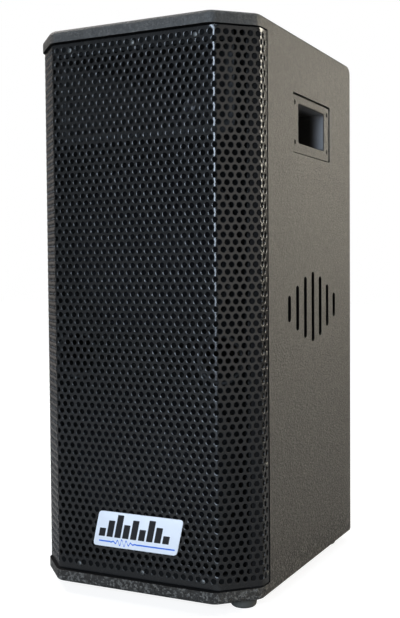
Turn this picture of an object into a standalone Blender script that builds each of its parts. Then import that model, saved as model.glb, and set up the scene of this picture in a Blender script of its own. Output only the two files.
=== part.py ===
"""Two-way passive PA loudspeaker cabinet, modelled piece by piece, in metres with +Z up.

The front faces -Y and +X is on the right of somebody who looks at the front. The origin is on
the floor, under the middle of the case. Every place below is given as (x, depth, height), where
depth runs back from the front edges of the top and bottom panels, and height runs up from the
underside of the case. CASE_ORIGIN turns that into the part's own frame.
"""
import math

import bmesh
import bpy
from mathutils import Matrix, Vector

# ---- Case -------------------------------------------------------------------------------
WIDTH = 0.369
DEPTH = 0.464
CASE_HEIGHT = 0.830
PANEL = 0.018
CHAMFER = 0.052
FOOT_HEIGHT = 0.015
CASE_ORIGIN = Vector((0.0, -DEPTH / 2, FOOT_HEIGHT))
FIT_GAP = 0.0003
EDGE_RADIUS = 0.004
REAR_TOP_RADIUS = 0.016

HALF = WIDTH / 2
INNER_HALF = HALF - PANEL
INNER_LOW = PANEL + FIT_GAP
INNER_HIGH = CASE_HEIGHT - PANEL - FIT_GAP

# ---- Front baffle and grille ------------------------------------------------------------
BAFFLE_DEPTH = 0.047
SHEET = 0.0015
GRILLE_SETBACK = 0.008
GRILLE_INSET = 0.004
GRILLE_HALF = HALF - 0.0010
GRILLE_END_GAP = 0.0015
FLANGE_BACK = 0.0790
REBATE_BACK = 0.0800
BATTEN_BACK = 0.030
BATTEN_HEIGHT = 0.022

# ---- Drivers, ports and horn ------------------------------------------------------------
SEGMENTS = 24
WOOFER_HEIGHTS = {"lower": 0.182, "upper": 0.504}
WOOFER_CUTOUT = 0.141
WOOFER_BOLT_RADIUS = 0.1505
WOOFER_BOLTS = 8
PORT_PLACES = {"left": -0.122, "right": 0.122}
PORT_HEIGHT = 0.343
PORT_BORE = 0.031
PORT_WALL = 0.0025
PORT_LENGTH = 0.120
HORN_HEIGHT = 0.736
HORN_WIDTH = 0.300
HORN_TALL = 0.140
HORN_CUTOUT = (0.276, 0.118)

# ---- Carrying handles, routed bars ------------------------------------------------------
HANDLE_DEPTHS = (0.180, 0.348)
HANDLE_HEIGHTS = (0.651, 0.739)
HANDLE_MOUTH_DEPTHS = (0.207, 0.3255)
HANDLE_MOUTH_HEIGHTS = (0.667, 0.727)
HANDLE_SCREW_DEPTHS = (0.1905, 0.338)
HANDLE_SCREW_HEIGHTS = (0.6665, 0.7275)
HANDLE_INSET = 0.0014
HANDLE_FLANGE = 0.0035
HANDLE_WALL = 0.003
HANDLE_CUP = 0.070
BAR_WIDTH = 0.013
BAR_PITCH = 0.0346
BAR_CENTRE = (0.265, 0.412)
BAR_TALLEST = 0.112
BAR_SHARES = (0.36, 0.62, 0.86, 1.0, 0.86, 0.62, 0.36)
BAR_GROOVE = 0.004

# ---- Rear connector plate ---------------------------------------------------------------
PLATE_HEIGHT = 0.260
PLATE_SIZE = (0.160, 0.100)
PLATE_RECESS = 0.008
PLATE_THICK = 0.002
SOCKET_PLACES = {"input": -0.036, "link": 0.036}
SOCKET_BODY = 0.0130
SOCKET_BORE = 0.0100
SOCKET_FLANGE = 0.019

# ---- Feet, badge and fasteners ----------------------------------------------------------
FOOT_RADIUS = 0.020
FOOT_PLACES = {
    "front_left": (-0.150, 0.062),
    "front_right": (0.150, 0.062),
    "rear_left": (-0.150, 0.416),
    "rear_right": (0.150, 0.416),
}
BADGE_CENTRE = (0.0046, 0.088)
BADGE_SIZE = (0.157, 0.053)
SCREW_SIDES = 6
SHANK_HOLE = 0.0023
TOP_ROW = [(x, 0.7995) for x in (-0.1035, 0.004, 0.1055)]
BOTTOM_ROW = [(x, 0.0293) for x in (-0.0975, 0.012, 0.111)]
FLANGE_SCREW_DEPTH = 0.0725
FLANGE_SCREW_HEIGHTS = (0.033, 0.191, 0.352, 0.458, 0.621, 0.786)

MERGE = 0.000001


# ---- Scene, materials and helpers -------------------------------------------------------
def clear_scene():
    """Remove whatever the file held before."""
    for old in list(bpy.data.objects):
        bpy.data.objects.remove(old, do_unlink=True)


def material(name, colour, roughness, metallic=0.0):
    """Principled material in one finish."""
    made = bpy.data.materials.new(name)
    made.use_nodes = True
    shader = made.node_tree.nodes["Principled BSDF"]
    shader.inputs["Base Color"].default_value = (*colour, 1.0)
    shader.inputs["Roughness"].default_value = roughness
    shader.inputs["Metallic"].default_value = metallic
    return made


def make_object(name, bm, finish, location=CASE_ORIGIN, smooth=False):
    """Turn a bmesh into a named object that stands in the case's frame."""
    bmesh.ops.recalc_face_normals(bm, faces=bm.faces)
    mesh = bpy.data.meshes.new(name)
    bm.to_mesh(mesh)
    bm.free()
    if smooth:
        mesh.shade_smooth()
        mesh.set_sharp_from_angle(angle=math.radians(35))
    made = bpy.data.objects.new(name, mesh)
    made.location = location
    if finish:
        mesh.materials.append(finish)
    bpy.context.scene.collection.objects.link(made)
    return made


def make_empty(name, x, depth, height):
    """Guide point that a moving body's pieces hang from."""
    made = bpy.data.objects.new(name, None)
    made.location = CASE_ORIGIN + Vector((x, depth, height))
    bpy.context.scene.collection.objects.link(made)
    return made


def on_axis(made, parent):
    """Hang a turned piece on an empty, its own +Z pointing to the back of the case."""
    made.parent = parent
    made.location = (0.0, 0.0, 0.0)
    made.rotation_euler = (-math.pi / 2, 0.0, 0.0)
    return made


def facing_back(made, x, depth, height):
    """Stand a turned piece at a place in the case, its own +Z pointing to the back."""
    made.location = CASE_ORIGIN + Vector((x, depth, height))
    made.rotation_euler = (-math.pi / 2, 0.0, 0.0)
    return made


def prism(outline, axis, low, high):
    """Closed solid of a flat outline extruded along one axis."""
    placed = {
        "X": lambda a, b, c: (c, a, b),
        "Y": lambda a, b, c: (a, c, b),
        "Z": lambda a, b, c: (a, b, c),
    }[axis]
    bm = bmesh.new()
    face = bm.faces.new([bm.verts.new(placed(a, b, low)) for a, b in outline])
    grown = bmesh.ops.extrude_face_region(bm, geom=[face])
    moved = [item for item in grown["geom"] if isinstance(item, bmesh.types.BMVert)]
    bmesh.ops.translate(bm, verts=moved, vec=Vector(placed(0.0, 0.0, high - low)))
    return bm


def box(low, high):
    """Closed box between two corners."""
    outline = [(low[0], low[1]), (high[0], low[1]), (high[0], high[1]), (low[0], high[1])]
    return prism(outline, "Z", low[2], high[2])


def merged(parts):
    """One bmesh that holds several separate solids."""
    whole = bmesh.new()
    for part in parts:
        mesh = bpy.data.meshes.new("part_of_group")
        part.to_mesh(mesh)
        part.free()
        whole.from_mesh(mesh)
        bpy.data.meshes.remove(mesh)
    return whole


def rounded(outline, radius, corners, steps=3):
    """Outline with the numbered corners turned into arcs."""
    result = []
    for index, point in enumerate(outline):
        here = Vector(point)
        if index not in corners:
            result.append(tuple(here))
            continue
        before = (Vector(outline[index - 1]) - here).normalized()
        after = (Vector(outline[(index + 1) % len(outline)]) - here).normalized()
        half_angle = before.angle(after) / 2
        centre = here + (before + after).normalized() * radius / math.sin(half_angle)
        start = here + before * radius / math.tan(half_angle) - centre
        end = here + after * radius / math.tan(half_angle) - centre
        turn = start.angle_signed(end)
        for step in range(steps + 1):
            spin = Matrix.Rotation(-turn * step / steps, 2)
            result.append(tuple(centre + spin @ start))
    return result


def rounded_rectangle(centre, size, radius, steps=4):
    """Outline of a rectangle whose four corners are arcs."""
    half_a = size[0] / 2
    half_b = size[1] / 2
    signs = ((1, 1), (-1, 1), (-1, -1), (1, -1))
    points = []
    for quarter, (sign_a, sign_b) in enumerate(signs):
        arc_a = centre[0] + sign_a * (half_a - radius)
        arc_b = centre[1] + sign_b * (half_b - radius)
        for step in range(steps + 1):
            angle = math.pi / 2 * (quarter + step / steps)
            points.append((arc_a + radius * math.cos(angle), arc_b + radius * math.sin(angle)))
    return points


def loft(loops, ring=False):
    """Closed solid through loops of equal count; a ring joins its last loop to its first."""
    bm = bmesh.new()
    rows = [[bm.verts.new(point) for point in loop] for loop in loops]
    pairs = list(zip(rows, rows[1:]))
    if ring:
        pairs.append((rows[-1], rows[0]))
    for low, high in pairs:
        for index in range(len(low)):
            following = (index + 1) % len(low)
            bm.faces.new((low[index], low[following], high[following], high[index]))
    if not ring:
        bm.faces.new(rows[0])
        bm.faces.new(rows[-1])
    return bm


def turned(profile, segments=SEGMENTS):
    """Solid of revolution about Z; the profile is (radius, z), closed unless it meets the axis."""
    bm = bmesh.new()
    verts = [bm.verts.new((radius, 0.0, z)) for radius, z in profile]
    edges = [bm.edges.new(pair) for pair in zip(verts, verts[1:])]
    if min(radius for radius, z in profile) > MERGE:
        edges.append(bm.edges.new((verts[-1], verts[0])))
    bmesh.ops.spin(
        bm,
        geom=verts + edges,
        axis=(0.0, 0.0, 1.0),
        cent=(0.0, 0.0, 0.0),
        angle=2 * math.pi,
        steps=segments,
        use_merge=True,
    )
    bmesh.ops.remove_doubles(bm, verts=bm.verts, dist=MERGE)
    return bm


def aimed(bm, place, direction):
    """Move a solid built along +Z so that it starts at place and runs along direction."""
    turn = Vector((0.0, 0.0, 1.0)).rotation_difference(Vector(direction)).to_matrix().to_4x4()
    bmesh.ops.transform(bm, matrix=Matrix.Translation(Vector(place)) @ turn, verts=bm.verts)
    return bm


def cut(target, parts, label, operation="DIFFERENCE"):
    """Subtract separate closed solids from an object, or keep what is inside them."""
    cutter = make_object(f"cutter_{target.name}_{label}", merged(parts), None, target.location)
    cutter.rotation_euler = target.rotation_euler
    cutter.parent = target.parent
    cutter.hide_render = True
    cutter.display_type = "WIRE"
    modifier = target.modifiers.new(label, "BOOLEAN")
    modifier.operation = operation
    modifier.solver = "EXACT"
    modifier.object = cutter


def holes(places, direction, reach, radius=SHANK_HOLE):
    """Round cutters that start FIT_GAP outside each place and run reach into the piece."""
    made = []
    for place in places:
        start = Vector(place) - Vector(direction) * FIT_GAP
        profile = [(0.0, 0.0), (radius, 0.0), (radius, reach), (0.0, reach)]
        made.append(aimed(turned(profile, SCREW_SIDES), start, direction))
    return made


# ---- Case panels ------------------------------------------------------------------------
def case_outline():
    """Plan of the top and bottom panels: square at the back, both front corners cut at 45 degrees."""
    corners = [
        (HALF - CHAMFER, 0.0),
        (HALF, CHAMFER),
        (HALF, DEPTH),
        (-HALF, DEPTH),
        (-HALF, CHAMFER),
        (-HALF + CHAMFER, 0.0),
    ]
    return rounded(corners, EDGE_RADIUS, (2, 3))


def make_end_panels(paint):
    """Top panel, with its back edge well rounded, and bottom panel."""
    profile = [
        (0.0, CASE_HEIGHT - PANEL),
        (DEPTH, CASE_HEIGHT - PANEL),
        (DEPTH, CASE_HEIGHT),
        (0.0, CASE_HEIGHT),
    ]
    slab = prism(rounded(profile, REAR_TOP_RADIUS, (2,), 4), "X", -HALF, HALF)
    top = make_object("top_panel", slab, paint)
    plan = prism(case_outline(), "Z", CASE_HEIGHT - 2 * PANEL, CASE_HEIGHT + PANEL)
    cut(top, [plan], "plan", "INTERSECT")

    bottom = make_object("bottom_panel", prism(case_outline(), "Z", 0.0, PANEL), paint)
    foot_holes = [(x, depth, 0.0) for x, depth in FOOT_PLACES.values()]
    cut(bottom, holes(foot_holes, (0, 0, 1), 0.011), "foot_holes")


def bar_grooves(side):
    """Cutters for the row of routed bars on one side, taller towards the middle."""
    made = []
    inner = side * (HALF - BAR_GROOVE)
    outer = side * (HALF + BAR_GROOVE)
    middle = (len(BAR_SHARES) - 1) / 2
    for index, share in enumerate(BAR_SHARES):
        centre = (BAR_CENTRE[0] + (index - middle) * BAR_PITCH, BAR_CENTRE[1])
        size = (BAR_WIDTH, BAR_TALLEST * share)
        outline = rounded_rectangle(centre, size, BAR_WIDTH / 2 - FIT_GAP, 2)
        made.append(prism(outline, "X", min(inner, outer), max(inner, outer)))
    return made


def make_side_panel(name, side, paint):
    """Side panel with the grille's rebate, the handle's recess and window, and the routed bars."""
    (front_x, front_depth), (side_x, side_depth) = grille_offset(SHEET + FIT_GAP)
    slant = front_x - front_depth
    outline = [
        (INNER_HALF, BAFFLE_DEPTH),
        (BAFFLE_DEPTH + slant, BAFFLE_DEPTH),
        (side_x, side_depth),
        (side_x, REBATE_BACK),
        (HALF, REBATE_BACK),
        (HALF, DEPTH),
        (INNER_HALF, DEPTH),
    ]
    outline = [(side * x, depth) for x, depth in rounded(outline, EDGE_RADIUS, (5,))]
    panel = make_object(name, prism(outline, "Z", INNER_LOW, INNER_HIGH), paint)

    recess_floor = side * (HALF - HANDLE_INSET - HANDLE_FLANGE - FIT_GAP)
    beyond = side * (HALF + HANDLE_WALL)
    recess = box(
        (min(recess_floor, beyond), HANDLE_DEPTHS[0] - 0.0006, HANDLE_HEIGHTS[0] - 0.0012),
        (max(recess_floor, beyond), HANDLE_DEPTHS[1] + 0.0020, HANDLE_HEIGHTS[1] + 0.0026),
    )
    screws = [(side * side_x, FLANGE_SCREW_DEPTH, height) for height in FLANGE_SCREW_HEIGHTS]
    flange_holes = holes(screws, (-side, 0, 0), 0.011)
    cut(panel, [recess] + bar_grooves(side) + flange_holes, "outer_face")

    clear = HANDLE_WALL + 0.002
    window = box(
        (min(side * (INNER_HALF - PANEL), beyond), HANDLE_MOUTH_DEPTHS[0] - clear,
         HANDLE_MOUTH_HEIGHTS[0] - clear),
        (max(side * (INNER_HALF - PANEL), beyond), HANDLE_MOUTH_DEPTHS[1] + clear,
         HANDLE_MOUTH_HEIGHTS[1] + clear),
    )
    places = handle_screw_places(side * (HALF - HANDLE_INSET - HANDLE_FLANGE - FIT_GAP))
    cut(panel, [window] + holes(places, (-side, 0, 0), 0.0105), "handle_window")


def handle_screw_places(x):
    """The handle's four screws, at one distance from the middle of the case."""
    return [(x, depth, height) for depth in HANDLE_SCREW_DEPTHS for height in HANDLE_SCREW_HEIGHTS]


def horn_bolt_places():
    """Four corner screws of the horn's flange and one in the middle of each long edge."""
    across = HORN_WIDTH / 2 - 0.006
    up = HORN_TALL / 2 - 0.0055
    spots = [(sx * across, sz * up) for sx in (-1, 1) for sz in (-1, 1)]
    return spots + [(0.0, -up), (0.0, up)]


def make_baffle(finish):
    """Front baffle with the woofer, horn and port cut-outs and its screw holes."""
    low = (-INNER_HALF + FIT_GAP, BAFFLE_DEPTH, INNER_LOW)
    high = (INNER_HALF - FIT_GAP, BAFFLE_DEPTH + PANEL, INNER_HIGH)
    baffle = make_object("front_baffle", box(low, high), finish)
    start = BAFFLE_DEPTH - 0.005
    reach = PANEL + 0.010
    wells = []
    for height in WOOFER_HEIGHTS.values():
        disc = [(0.0, 0.0), (WOOFER_CUTOUT, 0.0), (WOOFER_CUTOUT, reach), (0.0, reach)]
        wells.append(aimed(turned(disc), (0.0, start, height), (0, 1, 0)))
    for x in PORT_PLACES.values():
        radius = PORT_BORE + PORT_WALL + 0.0005
        disc = [(0.0, 0.0), (radius, 0.0), (radius, reach), (0.0, reach)]
        wells.append(aimed(turned(disc), (x, start, PORT_HEIGHT), (0, 1, 0)))
    mouth = rounded_rectangle((0.0, HORN_HEIGHT), HORN_CUTOUT, 0.015, 2)
    wells.append(prism(mouth, "Y", start, start + reach))
    cut(baffle, wells, "wells")


def make_rear_panel(paint):
    """Rear panel with the recess and the window of the connector plate."""
    low = (-INNER_HALF + FIT_GAP, DEPTH - PANEL, INNER_LOW)
    high = (INNER_HALF - FIT_GAP, DEPTH, INNER_HIGH)
    panel = make_object("rear_panel", box(low, high), paint)
    floor = DEPTH - PLATE_RECESS
    size = (PLATE_SIZE[0] + 0.002, PLATE_SIZE[1] + 0.002)
    recess = rounded_rectangle((0.0, PLATE_HEIGHT), size, 0.007, 2)
    cut(panel, [prism(recess, "Y", floor, DEPTH + PLATE_RECESS)], "plate_recess")
    size = (PLATE_SIZE[0] - 0.030, PLATE_SIZE[1] - 0.030)
    window = rounded_rectangle((0.0, PLATE_HEIGHT), size, 0.005, 2)
    corner_holes = holes(plate_screw_places(floor), (0, -1, 0), 0.0085)
    through = prism(window, "Y", DEPTH - 2 * PANEL, DEPTH + PANEL)
    cut(panel, [through] + corner_holes, "plate_window")


def make_brace(timber):
    """Shelf brace between the woofers, with two windows for the air to pass."""
    low = (-INNER_HALF + FIT_GAP, 0.205, PORT_HEIGHT - PANEL / 2)
    high = (INNER_HALF - FIT_GAP, DEPTH - PANEL - FIT_GAP, PORT_HEIGHT + PANEL / 2)
    brace = make_object("cabinet_brace", box(low, high), timber)
    windows = []
    for x in (-0.078, 0.078):
        outline = rounded_rectangle((x, 0.325), (0.110, 0.160), 0.020, 2)
        windows.append(prism(outline, "Z", PORT_HEIGHT - PANEL, PORT_HEIGHT + PANEL))
    cut(brace, windows, "windows")


# ---- Grille -----------------------------------------------------------------------------
def grille_offset(depth_in):
    """Half outline of the grille, moved in by depth_in from its outer face: bend points."""
    front = GRILLE_SETBACK + depth_in
    side = GRILLE_HALF - depth_in
    slant = HALF - CHAMFER - (GRILLE_INSET + depth_in) * math.sqrt(2)
    return [(front + slant, front), (side, side - slant)]


def make_grille(black_steel):
    """Steel sheet folded round the front, the two chamfers and a flange on each side."""
    outer = grille_offset(0.0)
    inner = grille_offset(SHEET)
    right = outer + [(outer[1][0], FLANGE_BACK), (inner[1][0], FLANGE_BACK)] + inner[::-1]
    left = [(-x, depth) for x, depth in right[::-1]]
    low = INNER_LOW + GRILLE_END_GAP
    high = INNER_HIGH - GRILLE_END_GAP
    grille = make_object("front_grille", prism(right + left, "Z", low, high), black_steel)
    front = [(x, GRILLE_SETBACK, height) for x, height in TOP_ROW + BOTTOM_ROW]
    cut(grille, holes(front, (0, 1, 0), 0.003), "front_holes")
    for side in (-1, 1):
        spots = [(side * GRILLE_HALF, FLANGE_SCREW_DEPTH, h) for h in FLANGE_SCREW_HEIGHTS]
        cut(grille, holes(spots, (-side, 0, 0), 0.0019 + FIT_GAP), f"flange_holes_{side}")


def make_battens(timber):
    """Timber strips behind the grille's top and bottom edges, which its screws go into."""
    slant = grille_offset(SHEET + FIT_GAP)[0][0] - grille_offset(SHEET + FIT_GAP)[0][1]
    front = GRILLE_SETBACK + SHEET + FIT_GAP
    outline = [
        (front + slant, front),
        (BATTEN_BACK + slant, BATTEN_BACK),
        (-BATTEN_BACK - slant, BATTEN_BACK),
        (-front - slant, front),
    ]
    spans = {
        "grille_batten_top": (INNER_HIGH - BATTEN_HEIGHT, INNER_HIGH, TOP_ROW),
        "grille_batten_bottom": (INNER_LOW, INNER_LOW + BATTEN_HEIGHT, BOTTOM_ROW),
    }
    for name, (low, high, row) in spans.items():
        batten = make_object(name, prism(outline, "Z", low, high), timber)
        spots = [(x, front, height) for x, height in row]
        cut(batten, holes(spots, (0, 1, 0), 0.013), "screw_holes")


def make_badge(white):
    """Blank badge plate with slanted ends, on the lower part of the grille."""
    half_width = BADGE_SIZE[0] / 2
    half_height = BADGE_SIZE[1] / 2
    lean = 0.012
    corners = [
        (BADGE_CENTRE[0] - half_width, BADGE_CENTRE[1] - half_height),
        (BADGE_CENTRE[0] + half_width - lean, BADGE_CENTRE[1] - half_height),
        (BADGE_CENTRE[0] + half_width, BADGE_CENTRE[1] + half_height),
        (BADGE_CENTRE[0] - half_width + lean, BADGE_CENTRE[1] + half_height),
    ]
    outline = rounded(corners, 0.006, (0, 1, 2, 3), 2)
    back = GRILLE_SETBACK - FIT_GAP
    make_object("badge_plate", prism(outline, "Y", back - SHEET, back), white)


# ---- Handles, feet and connector plate --------------------------------------------------
def make_handle(name, side, plastic):
    """Moulded pocket handle: a flange in the recess and a cup that reaches into the case."""
    centre = (sum(HANDLE_MOUTH_DEPTHS) / 2, sum(HANDLE_MOUTH_HEIGHTS) / 2)
    mouth = (HANDLE_MOUTH_DEPTHS[1] - HANDLE_MOUTH_DEPTHS[0],
             HANDLE_MOUTH_HEIGHTS[1] - HANDLE_MOUTH_HEIGHTS[0])
    flange_centre = (sum(HANDLE_DEPTHS) / 2, sum(HANDLE_HEIGHTS) / 2)
    flange = (HANDLE_DEPTHS[1] - HANDLE_DEPTHS[0], HANDLE_HEIGHTS[1] - HANDLE_HEIGHTS[0])
    front = HALF - HANDLE_INSET
    back = front - HANDLE_FLANGE
    floor = front - HANDLE_CUP
    draft = 0.006

    def loop(about, size, radius, x):
        outline = rounded_rectangle(about, size, radius, 3)
        return [(side * x, depth, height) for depth, height in outline]

    walled = (mouth[0] + 2 * HANDLE_WALL, mouth[1] + 2 * HANDLE_WALL)
    loops = [
        loop(centre, (walled[0] - draft, walled[1] - draft), 0.008, floor - HANDLE_WALL),
        loop(centre, walled, 0.006, back),
        loop(flange_centre, flange, 0.003, back),
        loop(flange_centre, flange, 0.003, front),
        loop(centre, mouth, 0.004, front),
        loop(centre, (mouth[0] - draft, mouth[1] - draft), 0.006, floor),
    ]
    handle = make_object(name, loft(loops), plastic, smooth=True)
    places = handle_screw_places(side * front)
    cut(handle, holes(places, (-side, 0, 0), HANDLE_FLANGE + 4 * FIT_GAP), "screw_holes")


def make_feet(rubber):
    """Four tapered rubber feet, each with a counterbored hole for its screw."""
    profile = [
        (SHANK_HOLE, 0.0),
        (FOOT_RADIUS, 0.0),
        (FOOT_RADIUS - 0.002, -FOOT_HEIGHT + FIT_GAP),
        (0.0065, -FOOT_HEIGHT + FIT_GAP),
        (0.0065, -0.007),
        (SHANK_HOLE, -0.007),
    ]
    for place, (x, depth) in FOOT_PLACES.items():
        spot = CASE_ORIGIN + Vector((x, depth, -FIT_GAP))
        make_object(f"foot_{place}", turned(profile, 12), rubber, spot, smooth=True)


def plate_screw_places(depth):
    """Corner screws of the connector plate."""
    across = PLATE_SIZE[0] / 2 - 0.0075
    up = PLATE_SIZE[1] / 2 - 0.0075
    return [(sx * across, depth, PLATE_HEIGHT + sz * up) for sx in (-1, 1) for sz in (-1, 1)]


def socket_screw_places(depth):
    """Two screws on the diagonal of each socket's flange."""
    reach = 0.0112
    made = []
    for x in SOCKET_PLACES.values():
        for sign in (-1, 1):
            made.append((x + sign * reach, depth, PLATE_HEIGHT + sign * reach))
    return made


def make_connectors(black_steel, plastic):
    """Connector plate in the rear recess with an input and a link socket."""
    seat = DEPTH - PLATE_RECESS + FIT_GAP
    face = seat + PLATE_THICK
    outline = rounded_rectangle((0.0, PLATE_HEIGHT), PLATE_SIZE, 0.006, 2)
    plate = make_object("connector_plate", prism(outline, "Y", seat, face), black_steel)
    bores = []
    radius = SOCKET_BODY + 0.0005
    for x in SOCKET_PLACES.values():
        disc = [(0.0, 0.0), (radius, 0.0), (radius, 0.010), (0.0, 0.010)]
        bores.append(aimed(turned(disc, 16), (x, seat - 0.005, PLATE_HEIGHT), (0, 1, 0)))
    screw_holes = holes(plate_screw_places(face), (0, -1, 0), 0.004)
    screw_holes += holes(socket_screw_places(face), (0, -1, 0), 0.004, 0.0021)
    cut(plate, bores + screw_holes, "holes")

    profile = [
        (0.0, -0.022),
        (SOCKET_BODY, -0.022),
        (SOCKET_BODY, FIT_GAP),
        (SOCKET_FLANGE, FIT_GAP),
        (SOCKET_FLANGE, 0.0025),
        (SOCKET_BORE, 0.0025),
        (SOCKET_BORE, -0.014),
        (0.0045, -0.014),
        (0.0045, -0.010),
        (0.0, -0.010),
    ]
    for role, x in SOCKET_PLACES.items():
        socket = make_object(f"speaker_socket_{role}", turned(profile, 16), plastic, smooth=True)
        facing_back(socket, x, face, PLATE_HEIGHT)
        local = [(sign * 0.0112, -sign * 0.0112, 0.0025) for sign in (-1, 1)]
        cut(socket, holes(local, (0, 0, -1), 0.0040, 0.0021), "screw_holes")


# ---- Drivers ----------------------------------------------------------------------------
def basket_shell(stations, open_spans, spokes):
    """Shell of revolution with windows: stations are (front point, rear point) pairs."""
    bm = bmesh.new()
    step = 2 * math.pi / SEGMENTS

    def around(point, index):
        radius, z = point
        return bm.verts.new((radius * math.cos(index * step), radius * math.sin(index * step), z))

    front = [[around(pair[0], index) for pair in stations] for index in range(SEGMENTS)]
    rear = [[around(pair[1], index) for pair in stations] for index in range(SEGMENTS)]
    spans = range(len(stations) - 1)
    pitch = SEGMENTS // spokes

    def solid(index, span):
        return span in spans and (span not in open_spans or index % pitch == 0)

    for index in range(SEGMENTS):
        after = (index + 1) % SEGMENTS
        for span in spans:
            if not solid(index, span):
                continue
            ends = (span, span + 1)
            a, b = (front[index][end] for end in ends)
            c, d = (front[after][end] for end in ends)
            e, f = (rear[index][end] for end in ends)
            g, h = (rear[after][end] for end in ends)
            bm.faces.new((a, b, d, c))
            bm.faces.new((e, g, h, f))
            if not solid(index - 1, span):
                bm.faces.new((a, e, f, b))
            if not solid(index + 1, span):
                bm.faces.new((c, d, h, g))
            if not solid(index, span - 1):
                bm.faces.new((a, c, g, e))
            if not solid(index, span + 1):
                bm.faces.new((b, f, h, d))
    loose = [vert for vert in bm.verts if not vert.link_faces]
    bmesh.ops.delete(bm, geom=loose, context="VERTS")
    return bm


def sheet_profile(path, thickness):
    """Closed profile of a thin turned sheet whose front surface follows the path."""
    return path + [(radius, z + thickness) for radius, z in reversed(path)]


def make_woofer(prefix, height, finishes):
    """One 12 inch woofer; z in its profiles runs back from the baffle's front face."""
    axis = make_empty(f"{prefix}_woofer_axis", 0.0, BAFFLE_DEPTH, height)
    stations = [
        ((0.1550, -0.0063), (0.1550, -0.0003)),
        ((0.1370, -0.0063), (0.1395, -0.0003)),
        ((0.1340, 0.0040), (0.1375, 0.0060)),
        ((0.1120, 0.0460), (0.1160, 0.0480)),
        ((0.0980, 0.0740), (0.1025, 0.0760)),
        ((0.0920, 0.0860), (0.0960, 0.0880)),
        ((0.0880, 0.0950), (0.0920, 0.0980)),
        ((0.0430, 0.0950), (0.0430, 0.0980)),
    ]
    surround = [
        (0.1460, -0.0074),
        (0.1380, -0.0074),
        (0.1350, -0.0082),
        (0.1322, -0.0044),
        (0.1295, -0.0050),
        (0.1269, -0.0024),
    ]
    cone = [(0.1265, -0.0020), (0.1000, 0.0180), (0.0700, 0.0370), (0.0397, 0.0520)]
    spider = [
        (0.0936, 0.0800),
        (0.0760, 0.0825),
        (0.0560, 0.0775),
        (0.0399, 0.0800),
    ]
    dust_cap = [
        (0.0, 0.0300),
        (0.0200, 0.0318),
        (0.0380, 0.0370),
        (0.0510, 0.0443),
        (0.0510, 0.0453),
        (0.0380, 0.0382),
        (0.0200, 0.0330),
        (0.0, 0.0312),
    ]
    yoke = [
        (0.0120, 0.0990),
        (0.0374, 0.0990),
        (0.0374, 0.1263),
        (0.0780, 0.1263),
        (0.0780, 0.1340),
        (0.0120, 0.1340),
    ]

    def ring(inner, outer, low, high):
        return [(inner, low), (outer, low), (outer, high), (inner, high)]

    pieces = {
        "basket": (basket_shell(stations, (2, 3), 8), "cast"),
        "top_plate": (turned(ring(0.0403, 0.0780, 0.0983, 0.1060)), "zinc"),
        "magnet": (turned(ring(0.0460, 0.0840, 0.1063, 0.1260)), "ferrite"),
        "back_plate": (turned(yoke), "zinc"),
        "spider": (turned(sheet_profile(spider, 0.0008)), "cloth"),
        "surround": (turned(sheet_profile(surround, 0.0008)), "treated_cloth"),
        "cone": (turned(sheet_profile(cone, 0.0016)), "paper"),
        "dust_cap": (turned(dust_cap), "paper"),
        "voice_coil": (turned(ring(0.0382, 0.0394, 0.0480, 0.1120)), "copper"),
    }
    for piece, (bm, finish) in pieces.items():
        made = make_object(f"{prefix}_woofer_{piece}", bm, finishes[finish], smooth=True)
        on_axis(made, axis)
    drill_basket(prefix)


def drill_basket(prefix):
    """Screw holes in one woofer's frame."""
    basket = bpy.data.objects[f"{prefix}_woofer_basket"]
    spots = []
    for index in range(WOOFER_BOLTS):
        angle = 2 * math.pi * (index + 0.5) / WOOFER_BOLTS
        x = WOOFER_BOLT_RADIUS * math.cos(angle)
        spots.append((x, WOOFER_BOLT_RADIUS * math.sin(angle), -0.0063))
    cut(basket, holes(spots, (0, 0, 1), 0.007), "screw_holes")


def make_horn(plastic):
    """Rectangular horn that narrows from its mouth to a round throat."""
    wall = 0.003
    throat = 0.0127
    stations = [
        (-0.0053, 0.268, 0.110, 0.012),
        (0.030, 0.190, 0.084, 0.020),
        (0.070, 0.116, 0.062, 0.024),
        (0.110, 0.060, 0.044, 0.020),
        (0.150, 2 * throat, 2 * throat, throat),
    ]

    def loop(z, width, tall, radius):
        outline = rounded_rectangle((0.0, 0.0), (width, tall), radius, 5)
        return [(a, b, z) for a, b in outline]

    loops = [loop(*station) for station in stations]
    loops.append(loop(0.150, 0.070, 0.070, 0.035))
    loops.append(loop(0.146, 0.070, 0.070, 0.035))
    loops.append(loop(0.146, 2 * throat + 2 * wall, 2 * throat + 2 * wall, throat + wall))
    for z, width, tall, radius in stations[3:0:-1]:
        loops.append(loop(z, width + 2 * wall, tall + 2 * wall, radius + wall))
    loops.append(loop(-0.0003, 0.268 + 2 * wall - 0.004, 0.110 + 2 * wall - 0.004, 0.013))
    loops.append(loop(-0.0003, HORN_WIDTH, HORN_TALL, 0.008))
    loops.append(loop(-0.0053, HORN_WIDTH, HORN_TALL, 0.008))
    horn = make_object("horn_flare", loft(loops, ring=True), plastic, smooth=True)
    facing_back(horn, 0.0, BAFFLE_DEPTH, HORN_HEIGHT)
    spots = [(x, rise, -0.0053) for x, rise in horn_bolt_places()]
    cut(horn, holes(spots, (0, 0, 1), 0.006), "screw_holes")


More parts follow.
